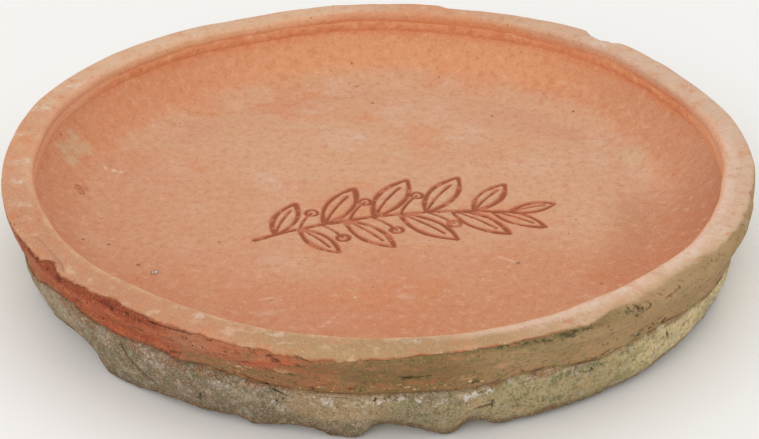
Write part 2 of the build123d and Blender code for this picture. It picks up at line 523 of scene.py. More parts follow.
# %% [markdown]
# The corner coil is a rope of clay, pressed into the corner of floor and wall and drawn out with a
# thumb to a long hollow slope. A bowed run gives that hollow. Its lip stands a little in front of
# the wall, and its edge is worn round, so a few passes of smoothing go over the lip only.

# %% Form the corner coil
LIP_FROM_HEIGHT, LIP_TO_RADIUS = 29.2, 129.5
DRAG_SHARE = 0.6
CORNER_SECTION = [
    (*FLOOR_CORNER, 5, 0, 0),
    (*COIL_HEEL, 5, 0, 0),
    (130.3, 30.1, 1, 0, 0),
    (129.1, 30.4, 0.8, 1.75, -2.88),
    (*FLOOR_EDGE, 1, 0, 0),
]


def soften(clay, chosen, passes):
    """Rounds the chosen part of the clay, as a wet thumb does."""
    soft = [vertex for vertex in clay.verts if chosen(vertex.co / MM)]
    axes = {"use_axis_x": True, "use_axis_y": True, "use_axis_z": True}
    for _ in range(passes):
        bmesh.ops.smooth_vert(clay, verts=soft, factor=0.5, **axes)


corner_clay = throw_ring(CORNER_SECTION, 15)
soften(corner_clay, lambda at: at.z > LIP_FROM_HEIGHT and at.xy.length < LIP_TO_RADIUS, 2)
corner_places = places_of(corner_clay)
corner_radius, _, corner_height = polar(corner_places)
corner_face = ease(corner_height, FLOOR_TOP, 14.5) * (corner_radius < 129.3)
drag = rough(corner_places, (16, 2, 3.0, 4.0, 0.3), (5, 3, 2.0, 8.0, 0.07))
thumb_lines = rough(corner_places, (30, 1, 16.0, 2.0, 0.13)) * ease(corner_height, 15, 24)
dragged = (drag + thumb_lines) * corner_face * DRAG_SHARE
lip = rough(corner_places, (11, 2, 1, 1.0, 0.25)) * ease(corner_height, 28.5, 30.2)
move_to(corner_clay, press(corner_places, dragged, dragged + lip))
corner_coil = fire(corner_clay, "corner_coil_clay", "corner_coil", {})

# %% [markdown]
# The wall is a strap of clay between the foot band and the rim coil, hollow outside where fingers
# squeezed it. At the left front its skin has flaked off and the red body shows, pitted and
# cracked. Those cracks are lines again. The wide drag marks are noise squeezed flat in height,
# because a hand drags along the strap and never up it.

# %% Form the wall strip
WALL_SECTION = [
    (*SEAM, 4, 0, 0),
    (*WALL_HEEL, 5, 0, 0),
    (*COIL_HEEL, 5, 0, 0),
    (129.4, 30.0, 0.6, -0.45, 0),
    (129.4, 34.9, 4, 0, 0),
    (*SIDE_JOINT, 0.75, -1.0, 0.46),
]
# Cracks: azimuth in degrees and height of each corner, then the width of the line
WALL_CRACKS = [
    ([(-110.5, 27.3), (-109.3, 28.2), (-108.3, 28.8), (-106, 29.8)], 0.5),
    ([(-103, 32), (-102.4, 31.6), (-101.4, 31.2)], 0.6),
    ([(-139.5, 30.5), (-136.5, 29.2), (-134, 29.8)], 0.45),
    ([(-73.4, 20.3), (-71.6, 22.2), (-69.8, 23.9)], 0.45),
    ([(-109.5, 21.3), (-107.6, 20.6), (-105.2, 19.9)], 0.5),
    ([(-57.1, 20.8), (-56.2, 20.8), (-55.3, 21.2)], 0.5),
    ([(-86.6, 27), (-84.6, 26.8), (-82.6, 27.1)], 0.5), ([(-69.9, 21.3), (-69.3, 20.3)], 0.6),
    ([(-50.4, 22.7), (-47.6, 22.8), (-45, 22.9)], 0.5),
]
# Depths in mm, and where the skin has flaked off and where the front lies, in degrees
PIT_SIDE_SHARE = 0.2
BROKEN_DEPTH, BROKEN_MORE, SIDE_MEAN, SKIN_DEPTH, SEAM_FILL_DEPTH = 0.1, 0.45, 0.1, 0.4, 0.9
FLAKED_AZIMUTH, FRONT_AZIMUTH = -137, -92
# Pits in the flaked skin: azimuth, height, reach and depth
WALL_PITS = [
    (-136.4, 30.8, 1.4, 0.9), (-141, 24.5, 1.2, 0.6), (-135.2, 25, 0.9, 0.5),
    (-143.6, 27.5, 1.1, 0.6), (-132, 24.4, 0.8, 0.4), (-127.4, 27.2, 0.9, 0.4),
    (-117.7, 30.7, 1, 0.6), (-115.7, 28.8, 1.2, 0.7), (-100.6, 31.2, 1, 0.7),
    (-86.4, 25.4, 1, 0.4), (-56.1, 29.1, 1.2, 0.5), (-66.5, 22.8, 0.9, 0.5),
    (-104.2, 26, 1.1, 0.5), (-101.9, 26.1, 1, 0.6), (-85.2, 21.6, 0.9, 0.4),
    (-132.6, 34.6, 1, 0.6), (-110.4, 31.6, 0.9, 0.7), (-98.9, 20.9, 0.9, 0.6),
    (-93.7, 21.6, 0.9, 0.5), (-76.4, 22, 0.9, 0.4), (-133.8, 27.4, 1, 0.6),
    (-130.4, 29.6, 0.9, 0.6), (-138.6, 27.2, 1, 0.7), (-145.4, 30.4, 1, 0.7),
]
# The seam between the wall and the foot band: azimuth, then mm above its mean height
SEAM_RISE = [
    (-180, 0.3), (-172, -2), (-162, -3.8), (-156, -3.2), (-152.5, -1), (-147.5, 2.8),
    (-142.5, 4.4), (-139.5, 4.6), (-137, 3.4), (-134.5, 2.6), (-131.5, 3), (-128, 2.9),
    (-124.5, 3.4), (-122, 3), (-119.5, 2), (-114.5, 2.6), (-110.5, 1), (-106, -0.1), (-100, -0.8),
    (-96, -0.9), (-88, -0.5), (-82, -0.4), (-77.5, -0.8), (-73.5, 0.2), (-69.5, 1.7), (-66.2, 2.2),
    (-61.5, 0.4), (-57, -0.4), (-52.8, 0.7), (-48.5, 1.8), (-44.5, 2.2), (-38, 0.6), (-31, -0.7),
    (-20, -1.2), (-5, 0.2), (14, 1), (35, -0.6), (58, 0.7), (80, -0.3), (104, 1.1), (126, -0.7),
    (148, 0.8), (166, -0.4), (180, 0.3),
]
# The outer side from the foot up to the rim: height, then radius
SIDE_PROFILE = [
    (0, 130), (0.8, 131.4), (2.6, 131.9), (6.4, 133.4), (10.3, 134.4), (14.4, 134.8),
    (16.4, 134.9), (18.5, 134.8), (19.5, 134.4), (19.9, 133.4), (21.6, 133.7), (23.3, 134.1),
    (24.9, 134.6), (26.5, 135.3), (28, 136.1), (29.4, 137), (30.8, 138), (32.1, 139.2),
    (33.3, 139.7), (34.5, 140), (35.7, 140), (36.8, 139.9), (37.7, 139.7), (38.3, 139.3),
    (38.8, 138.6), (39, 137.8),
]


def side_spots(azimuths, heights):
    """Places on the outer side, at these azimuths in degrees and heights in mm."""
    return from_polar(np.interp(heights, *zip(*SIDE_PROFILE)), azimuths, np.asarray(heights))


def side_lines(table):
    """Wavering lines on the outer side, through the corners that a table of cracks gives."""
    return [line_points(side_spots(*zip(*corners)), width, 0.5) for corners, width in table]


def pit_share(places, pits):
    """How far each place lies inside a pit, from 0 at its side to 1 in its middle, times depth."""
    depth = np.zeros(len(places))
    ragged = 1 + rough(places, (1.5, 2, 1, 3.0, 0.4))
    for azimuth, height, reach, deep in pits:
        away = np.linalg.norm(places - side_spots(azimuth, height), axis=1) * ragged
        depth = np.maximum(depth, deep * ease(-away, -reach, -PIT_SIDE_SHARE * reach))
    return depth


def flaked(azimuth):
    """How far the outer skin has gone: 1 at the left front, 0 elsewhere."""
    return near_azimuth(azimuth, FLAKED_AZIMUTH, 25, 13)


def side_drag(places):
    """How the outer side of wall and rim stands out and in, alike where the two meet."""
    _, azimuth, height = polar(places)
    drawn = rough(places, (22, 2, 3.0, 6.0, 0.3), (9, 3, 4.0, 2.0, 0.16))
    broken_depth = BROKEN_DEPTH + BROKEN_MORE * flaked(azimuth)
    broken = swell(places, 4.5, 4, 1.2, 7.0) * broken_depth
    lost_skin = SKIN_DEPTH * flaked(azimuth) * ease(height, 20, 25)
    return drawn + broken - SIDE_MEAN - lost_skin


def seam_shift(azimuth, height):
    """How far the clay near the seam is lifted, most at the seam itself."""
    near = ease(height, 9, SEAM[1]) * ease(-height, -31, -SEAM[1])
    return eased_table(azimuth, SEAM_RISE) * near


def joint_shut(azimuth):
    """Where the rim's inner edge is pressed shut on the corner: 1 in front, 0 at the back."""
    return 1 - ease(azimuth, 8, 22) * ease(-azimuth, -156, -146)


def seam_fill(azimuth, height):
    """How far the seam is filled out with pressed clay, everywhere but in front."""
    behind = 1 - near_azimuth(azimuth, FRONT_AZIMUTH, 34, 18)
    near = ease(height, 18.4, SEAM[1]) * ease(-height, -26, -SEAM[1])
    return SEAM_FILL_DEPTH * behind * near


print("a place on the side, 25 mm up:", side_spots(-90.0, 25.0).round(2))

# %% Press and crack the wall
OUTER_SIDE_RADIUS, INNER_SIDE_RADIUS, WALL_LINE_REACH = 132, 130.5, 2.0
WALL_CRACK_DEPTH, WALL_SHUT_DEPTH = 0.5, 0.7
DARK_PIT_SHARE = 1.6

wall_clay = throw_ring(WALL_SECTION, 17)
wall_lines = side_lines(WALL_CRACKS)
divide_near(wall_clay, wall_lines, WALL_LINE_REACH)
wall_places = places_of(wall_clay)
wall_radius, wall_azimuth, wall_height = polar(wall_places)
outer, inner = wall_radius > OUTER_SIDE_RADIUS, wall_radius < INNER_SIDE_RADIUS
wall_crack_share = line_share(wall_places, wall_lines) * outer
wall_pits = pit_share(wall_places, WALL_PITS)
wall_shut = joint_shut(wall_azimuth) * inner * ease(wall_height, 29.4, 30.0)
bead = inner * ease(wall_height, 30.2, 31.2) * ease(-wall_height, -34.9, -34.0)
wall_out = side_drag(wall_places) * outer * ease(wall_height, SEAM[1], 21.0) - wall_pits
wall_out += seam_fill(wall_azimuth, wall_height) * outer - wall_crack_share * WALL_CRACK_DEPTH
wall_out -= rough(wall_places, (13, 2, 2.0, 3.0, 0.12)) * bead * (1 - 0.7 * wall_shut)
wall_out -= wall_shut * WALL_SHUT_DEPTH
wall_lifted = wall_height + seam_shift(wall_azimuth, wall_height) * outer
wall_lifted_places = from_polar(wall_radius, wall_azimuth, wall_lifted)
move_to(wall_clay, press(wall_lifted_places, wall_out))
wall_masks = {
    "cracked": wall_crack_share,
    "pitted": np.clip(wall_pits * DARK_PIT_SHARE, 0, 1),
    "over_seam": np.clip(wall_height - SEAM[1], -1, 9),
    "inner": ease(-wall_radius, -131, -130),
}
wall_strip = fire(wall_clay, "wall_strip_clay", "wall_strip", wall_masks)

# %% [markdown]
# The rim coil is flattened over the top of the wall and overhangs it on both sides. Knocks have
# taken shell-shaped chips out of its outer edge. Each chip is a ball pushed into the clay: any
# vertex inside the ball moves out to its surface, which leaves the same scoop that broken clay has.
# A boolean would do it too, but would leave long thin faces that shade badly.

# %% Form the rim coil
RIM_SECTION = [
    (*SIDE_JOINT, 4, 0, 0),
    (129.15, 35.1, 0.6, 0, 0),
    (129.0, 36.2, 0.6, -0.4, 0.6),
    (131.5, RIM_TOP, 0.8, 0, 0.0),
    (137.8, RIM_TOP, 0.55, 0.42, 0.42),
    (139.9, 36.8, 0.7, 0.42, 0),
]
RIM_EDGE_RADIUS = 139.5
# A place on the side counts as further out by this share of how far it lies below this height
SIDE_FROM_HEIGHT, SIDE_SHARE = 38.6, 0.9
CHIP_WIDTH, CHIP_DEPTH, CHIP_RISE_SHARE = 19.0, 4.0, 0.35
# Chips: azimuth in degrees, then shares of the width and the depth above
RIM_CHIPS = [
    (-142.6, 0.44, 0.42), (-128.6, 0.36, 0.30), (-14.5, 0.66, 0.56), (46.9, 1.08, 0.86),
    (76.0, 0.55, 0.42), (-37.3, 0.40, 0.20),
]
# The crack on the top: azimuth and radius of each corner, then the width
TOP_CRACK = [(-150.6, 135.2), (-147.3, 135.0), (-144.3, 135.2), (-141.3, 135.6), (-139.4, 136.9)]
TOP_CRACK_WIDTH = 0.65
# Cracks in its side; the first row is a line under the lip, sunk and painted dark as a painted
# shadow. Azimuth and height of each corner, then the width
RIM_SIDE_CRACKS_AND_LIP_SHADOW = [
    ([(-121.8, 38), (-119, 37.6), (-116.5, 37.9), (-112, 36.8)], 0.42),
    ([(-104.2, 35.6), (-103.2, 34), (-102.6, 32.9)], 0.6),
    ([(-100.8, 36.4), (-99.8, 35.7), (-98.5, 34.5)], 0.5),
    ([(-47.6, 36.8), (-45.9, 37.7), (-44.3, 38.2)], 0.45), ([(-37.8, 32.9), (-36.8, 33.7)], 0.45),
    ([(-132, 37.4), (-129.4, 36.9), (-126, 37.6)], 0.6),
    ([(-154, 36.6), (-150.5, 37.4), (-147, 37.4), (-144.8, 36.4)], 0.6),
]
# Pits in its side: azimuth, height, reach and depth
RIM_SIDE_PITS = [
    (-148.2, 37.6, 1.4, 0.8), (-145.6, 37.2, 1.6, 0.9), (-139.4, 37.2, 1.5, 0.9),
    (-139.8, 35, 1.1, 0.7), (-137.6, 37.3, 1, 0.7), (-128.4, 36.4, 1.2, 0.7),
    (-125.6, 37.4, 1.6, 0.8), (-110.3, 33.9, 0.9, 0.6), (-63.4, 37, 1.4, 0.5),
    (-61.8, 37.4, 1, 0.5), (-52.7, 37.8, 1.3, 0.5), (-100.5, 32.8, 1, 0.6),
]
# Narrower and wider stretches of the rim's inner edge: azimuth, then mm outwards
RIM_INNER_SHIFT = [
    (-180, -0.8), (-165, -1.4), (-150, -3), (-130, -3.4), (-116, -2.6), (-104, -0.7), (-90, -0.4),
    (-78, -0.3), (-66, -1.4), (-54, -3.2), (-40, -3.6), (-28, -2.8), (-12, -1.6), (4, -0.5),
    (30, -0.4), (60, -0.4), (90, 0.1), (120, -0.3), (150, -0.5), (180, -0.8),
]
# How far the inner edge is smeared down over the wall: azimuth, then mm
RIM_INNER_DROP = [
    (-180, 0.4), (-160, 0), (-20, 0), (10, 0.6), (40, 1.9), (58, 2.4), (72, 1.4), (90, 0.7),
    (140, 0.9), (180, 0.4),
]
# Where the outer edge alone stands in or out: azimuth, then mm outwards
RIM_OUTER_SHIFT = [
    (-180, 0), (39, 0), (43.5, -0.3), (52, 0.2), (66, 0), (71, -0.5), (74.5, -1.3), (77.4, -1.3),
    (79.4, 0.6), (82, 0.7), (86, 0.4), (90, 0), (97, 0), (180, 0),
]
# Where the pale skin of the top ends: azimuth, then radius in mm, past 139.2 counted down the side
PALE_END = [
    (-180, 141.5), (-165, 142.5), (-156, 142), (-152, 139.7), (-149.7, 138.9), (-144.8, 139.3),
    (-142.5, 136.4), (-139.2, 138.7), (-134.5, 138), (-132, 138.8), (-128.5, 136.8),
    (-125.2, 138.2), (-119, 139.3), (-114, 139.6), (-110.8, 140.6), (-105.4, 140.8), (-103, 142.3),
    (-98.5, 142.6), (-95.5, 142.4), (-89.4, 141.2), (-84.5, 140.2), (-78.2, 139.6), (-74.7, 139.4),
    (-70, 138.8), (-66, 138.5), (-63.6, 138.8), (-61, 139.4), (-56.6, 136.6), (-50, 136),
    (-44, 135.7), (-37.3, 135), (-33.3, 136.4), (-25, 137.9), (-10, 140), (10, 140.5), (60, 141.5),
    (120, 141.5), (180, 141.5),
]


def past_pale_skin(places):
    """How many mm each place lies past the end of the pale skin, less than 0 while still on it."""
    radius, azimuth, height = polar(places)
    down_side = (SIDE_FROM_HEIGHT - height) * SIDE_SHARE
    ragged = rough(places, (3.2, 3, 1, 2.0, 0.45))
    return radius + down_side - eased_table(azimuth, PALE_END) + ragged


def push_chips(places, chips):
    """Scoops the chips, and tells how far each place was moved."""
    moved = places.copy()
    for azimuth, width_share, depth_share in chips:
        width, depth = CHIP_WIDTH * width_share, CHIP_DEPTH * depth_share
        ball = (width**2 / 4 + depth**2) / (2 * depth)
        rise = ball * CHIP_RISE_SHARE
        reach = math.sqrt(ball**2 - rise**2)
        centre = from_polar(RIM_EDGE_RADIUS - depth + reach, azimuth, RIM_TOP + rise)
        away = moved - centre
        far = np.linalg.norm(away, axis=1)
        rough_ball = ball * (1 + rough(places, (3.0, 4, 1, azimuth, 0.06)))
        inside = far < rough_ball
        moved[inside] += away[inside] / far[inside, None] * (rough_ball - far)[inside, None]
    return moved, np.linalg.norm(moved - places, axis=1)


print("chips in the rim:", len(RIM_CHIPS))

# %% Press, chip and crack the rim
RIM_EDGE_HEIGHT, RIM_SOFT_HEIGHT = 38.5, 38
TOP_CRACK_DEPTH, RIM_CRACK_DEPTH, RIM_SHUT_DEPTH = 0.3, 0.55, 0.45
TOP_MEAN, WORN_DEPTH, WORN_MORE = 0.22, 0.45, 0.35
RIM_LINE_REACH = 1.8

rim_clay = throw_ring(RIM_SECTION, 18)
soften(rim_clay, lambda at: at.z > RIM_SOFT_HEIGHT, 1)
turns, radii = zip(*TOP_CRACK)
top_crack = from_polar(np.array(radii), turns, np.full(len(radii), RIM_TOP))
rim_lines = [line_points(top_crack, TOP_CRACK_WIDTH, 0.5), *side_lines(RIM_SIDE_CRACKS_AND_LIP_SHADOW)]
divide_near(rim_clay, rim_lines, RIM_LINE_REACH)
rim_places = places_of(rim_clay)
rim_radius, rim_azimuth, rim_height = polar(rim_places)
rim_shut = joint_shut(rim_azimuth)
past_pale = past_pale_skin(rim_places)
rim_pits = pit_share(rim_places, RIM_SIDE_PITS)
rim_crack_and_lip_shadow_share = line_share(rim_places, rim_lines)

inner_edge = ease(-rim_radius, -137, -132) * ease(rim_height, 35.6, 38)
outer_edge = ease(rim_radius, OUTER_SIDE_RADIUS, 138.5) * ease(rim_height, SIDE_JOINT[1], 34)
rim_side = ease(rim_radius, 138.2, 139.1) * ease(-rim_height, -38.6, -36.6)
rim_out = eased_table(rim_azimuth, RIM_INNER_SHIFT) * inner_edge
rim_out += eased_table(rim_azimuth, RIM_OUTER_SHIFT) * outer_edge
rim_out += side_drag(rim_places) * rim_side - rim_pits * ease(rim_radius, 138, 139)
inner_side = ease(-rim_radius, -133.5, -129.5) * (1 - 0.8 * rim_shut)
rim_out += rough(rim_places, (12, 2, 1.5, 9.0, 0.3)) * inner_side
rim_out -= RIM_SHUT_DEPTH * rim_shut * (rim_radius < 129.4) * ease(-rim_height, -38.0, -36.0)

pressed_top = rough(rim_places, (19, 2, 1, 4.0, 0.2), (6, 3, 1, 6.0, 0.1)) - TOP_MEAN
worn_edge = ease(past_pale, 0.0, 1.2) * ease(rim_height, 37.0, 38.4) * ease(rim_radius, 134, 136)
smeared = ease(-rim_height, -37.2, -35.4) * (rim_radius < 129.6)
rim_up = pressed_top * ease(rim_height, 36.5, RIM_EDGE_HEIGHT)
rim_up -= worn_edge * (WORN_DEPTH + WORN_MORE * flaked(rim_azimuth))
rim_up -= eased_table(rim_azimuth, RIM_INNER_DROP) * smeared

rim_worn, chip_move = push_chips(press(rim_places, rim_out, rim_up), RIM_CHIPS)
bare = ease(chip_move, 0.05, 0.5)
on_edge = rim_height > RIM_EDGE_HEIGHT
rim_worn[:, 2] -= rim_crack_and_lip_shadow_share * TOP_CRACK_DEPTH * on_edge
sunk = rim_crack_and_lip_shadow_share * RIM_CRACK_DEPTH * ~on_edge
crumbled = rough(rim_places, (2.4, 4, 1, 5.0, 0.5)) * bare
rim_worn[:, :2] *= (1 - sunk / RIM_EDGE_RADIUS)[:, None]
rim_worn[:, :2] *= (1 + crumbled / RIM_EDGE_RADIUS)[:, None]
move_to(rim_clay, rim_worn)
rim_masks = {
    "bare": bare,
    "cracked": rim_crack_and_lip_shadow_share,
    "pitted": np.clip(rim_pits * DARK_PIT_SHARE, 0, 1),
    "past_pale": np.clip(past_pale, -6, 6),
    "from_inner": np.clip(rim_radius - 128.8, 0, 8),
    "above_lip": np.clip(rim_height - 35.1, 0, 5),
}
rim_coil = fire(rim_clay, "rim_coil_clay", "rim_coil", rim_masks)

# %% [markdown]
# The foot band is the coarsest member: a thick strap lapped under the slab, left rough where hands
# pinched it down. Its lower edge is ragged, with arches between lumps that touch the ground. The
# heights of that edge go in a table, one row for each crest and each lump, and a soft step joins
# neighbours. The side is then squeezed between that edge and the seam, so its faces stay even.

# %% Form the foot band
BAND_SECTION = [
    (*SEAM, 0.6, 0.3, 0.3),
    (134.8, 18.5, 0.75, 1.0, -0.2),
    (131.9, 2.6, 0.7, 0.75, -0.5),
    (129.4, 0, 2.4, 0, 0),
    (108.6, 0, 1.4, 0, 0),
    (107.6, 1, 5, 0, 0),
    (*LAP_INSIDE, 7, 0, 0),
    (*LAP_OUTSIDE, 7, 0, 0),
    (*LAP_TOP, 2, 0, 0),
    (*WALL_HEEL, 4, 0, 0),
]
# The lower edge, with a row for each crest and each lump: azimuth in degrees, then height in mm
FOOT_EDGE = [
    (-180, 1.2), (-174, 2.7), (-166.5, 0.3), (-161.5, 2.4), (-156, 3.4), (-150.8, 4.2),
    (-146.8, 5.1), (-144.9, 6.1), (-141.8, 6.6), (-139, 5.3), (-137.7, 4.7), (-135.4, 1.1),
    (-134.2, 0.1), (-130.8, 0), (-128.7, 0.2), (-126.6, 1), (-123.7, 1.8), (-120, 2.4),
    (-116.6, 1.8), (-113.3, 2.1), (-110.8, 2.8), (-109.3, 1.6), (-108.3, 0.8), (-107, 1.2),
    (-104, 2.4), (-101, 2.9), (-99.3, 2.7), (-98.2, 1.6), (-96.7, 0.3), (-94.3, 0), (-92.8, 0.3),
    (-91.8, 1.7), (-91, 3.6), (-90.2, 4.7), (-88.8, 5), (-86.6, 4.4), (-84.4, 3.2), (-82.6, 1.5),
    (-81.2, 0.3), (-79.8, 0.2), (-78.8, 0.9), (-77.9, 2.6), (-77.1, 4), (-75.8, 4.2), (-74.6, 3.3),
    (-73.2, 1.8), (-72, 1.3), (-68.5, 1.3), (-64, 1.7), (-57, 1.6), (-50, 2), (-46, 2.4),
    (-42, 3.2), (-36, 3.7), (-31.5, 3.5), (-27, 2.5), (-24, 1.4), (-20.5, 0.2), (-13.5, 0.3),
    (-4, 2.7), (5, 0.3), (13, 3.8), (19, 0.3), (31, 2.2), (41, 0.3), (48, 4.5), (53.5, 0.2),
    (66, 2.4), (78, 0.3), (84, 4), (88.5, 0.3), (99, 2.2), (108, 0.2), (117, 2.6), (127.5, 0.3),
    (133, 4.9), (138.5, 0.1), (151, 2.3), (163, 0.3), (169, 3.7), (175.5, 0.3), (180, 1.2),
]
# Cracks: azimuth and height of each corner, then the width
BAND_CRACKS = [
    ([(-129.7, 19.5), (-129, 17.2), (-128.2, 15.2), (-125.8, 11.1), (-124.2, 8.7)], 0.75),
    ([(-125.2, 10.4), (-124.2, 8.4), (-123.9, 7.4)], 0.7),
    ([(-115.5, 11.2), (-115.9, 8.6), (-115.7, 6.1)], 0.75),
    ([(-98.6, 18.9), (-96, 18.4), (-93.4, 18.8)], 0.4), ([(-90.3, 18.2), (-90.5, 17)], 0.55),
    ([(-74, 14), (-74.05, 12.4), (-74, 10.7)], 0.85),
    ([(-76.4, 11.1), (-75.4, 11.5), (-74.2, 12.2)], 0.9),
    ([(-104.6, 18.8), (-103.4, 17.9), (-102.3, 17.2)], 0.5),
    ([(-43.6, 16.7), (-43.4, 15.4), (-43.2, 14)], 0.6), ([(-58.7, 17), (-58.5, 16.1)], 0.6),
]
FADE_RADIUS, FOOT_RADIUS = 117.1, 129.4
FOOT_SOFT_HEIGHT, FOOT_SOFT_RADIUS = 5, 126
CRUST_MEAN, BITE_DEPTH, LUMP_OUT = 0.15, 0.5, 0.3
BAND_CRACK_DEPTH, BAND_LINE_REACH = 0.7, 2.8
# Stretches drawn in: azimuth, degrees to either side where it ends and where it is full, mm
DRAWN_IN = [(-28, 22, 8, 0.8), (-143, 20, 8, 1.1)]
print("crests and lumps in the lower edge:", len(FOOT_EDGE))

# %% Squeeze, crumble and crack the band
band_clay = throw_ring(BAND_SECTION, 18)
band_lines = side_lines(BAND_CRACKS)
divide_near(band_clay, band_lines, BAND_LINE_REACH)
band_places = places_of(band_clay)
band_radius, band_azimuth, band_height = polar(band_places)
edge_height = eased_table(band_azimuth, FOOT_EDGE)
edge_height += np.abs(rough(band_places * (1, 1, 0), (3.5, 2, 1, 4.0, 0.2)))
band_side = ease(band_radius, 128.4, FOOT_RADIUS) * ease(-band_height, -SEAM[1], -19.2)
under = (band_height < 0.6) * ease(band_radius, FADE_RADIUS, FOOT_RADIUS)
squeeze = band_side * np.clip(1 - band_height / 19, 0, 1)
lifted = band_height + edge_height * np.maximum(squeeze, under)
lifted += seam_shift(band_azimuth, band_height) * (band_radius > 129.5)
band_spots = from_polar(band_radius, band_azimuth, lifted)
band_crack_share = line_share(band_spots, band_lines) * band_side

bite = ease(edge_height, 2.4, 6.0) * ease(-band_height, -13, -1) * band_side
lump = ease(-edge_height, -1.6, 0.0) * ease(-band_height, -12, -2) * band_side
crust = rough(band_places, (14, 2, 1.3, 2.0, 0.5), (5, 3, 1, 4.0, 0.3), (1.9, 3, 1, 7.0, 0.24))
drawn_in = sum(near_azimuth(band_azimuth, *where) * depth for *where, depth in DRAWN_IN)
band_out = crust - CRUST_MEAN - bite * BITE_DEPTH + lump * LUMP_OUT - drawn_in
band_out *= band_side
band_out += seam_fill(band_azimuth, band_height) * (band_radius > OUTER_SIDE_RADIUS)
band_out -= band_crack_share * BAND_CRACK_DEPTH
band_up = rough(band_places, (9, 3, 1, 3.0, 0.5), (3.5, 2, 1, 5.0, 0.3))
band_moved = press(band_spots, band_out, band_up * ease(band_height, 16.5, 18.6) * band_side)
band_moved[:, 2] = np.maximum(band_moved[:, 2], 0)
move_to(band_clay, band_moved)
soften(band_clay, lambda at: at.z < FOOT_SOFT_HEIGHT and at.xy.length > FOOT_SOFT_RADIUS, 1)
band_masks = {"cracked": band_crack_share, "above_edge": lifted - edge_height}
foot_band = fire(band_clay, "foot_band_clay", "foot_band", band_masks)

# %% [markdown]
# A clay finish is built like glazes on a test tile: a body colour, then thin washes laid over it
# through masks. A mask is plain arithmetic on numbers that Blender works out at each point, so it
# is written as arithmetic. One small class stands for such a number and turns each operator into a
# Math node. Everything reads Object coordinates in millimetres, so a finish never slides.

# %% Shader arithmetic
class Amount:
    """A number that varies over a surface. Sums and products of it add Math nodes."""

    def __init__(self, finish, socket):
        self.finish = finish
        self.socket = socket

    def math(self, operation, *others):
        values = dict(enumerate((self, *others)))
        made = self.finish.node("ShaderNodeMath", {"operation": operation}, values)
        return Amount(self.finish, made.outputs[0])

    def __add__(self, other):
        return self.math("ADD", other)

    def __sub__(self, other):
        return self.math("SUBTRACT", other)

    def __mul__(self, other):
        return self.math("MULTIPLY", other)

    def __rsub__(self, other):
        return (self * -1.0).math("ADD", other)

    __radd__ = __add__
    __rmul__ = __mul__

    def most(self, other):
        return self.math("MAXIMUM", other)

    def ease(self, low, high):
        """0 at low and 1 at high, with a soft step between. Low may be the larger."""
        settings = {"interpolation_type": "SMOOTHSTEP"}
        values = {"Value": self, "From Min": low, "From Max": high}
        made = self.finish.node("ShaderNodeMapRange", settings, values)
        return Amount(self.finish, made.outputs[0])


print("operators that add nodes:", [name for name in vars(Amount) if name.startswith("__r")])

# %% The finish
NOISE_ROUGHNESS = 0.55
RAGGED_SCALE, RAGGED_REACH = 0.55, 4.0
SPOT_SIDE, SPOT_HEART = 1.15, 0.45
SHEEN = 0.25


def paint(red, green, blue):
    """A colour mixed on a 0 to 255 scale, as a shader value."""
    mixed = Color((red / 255, green / 255, blue / 255)).from_srgb_to_scene_linear()
    return (*mixed, 1.0)


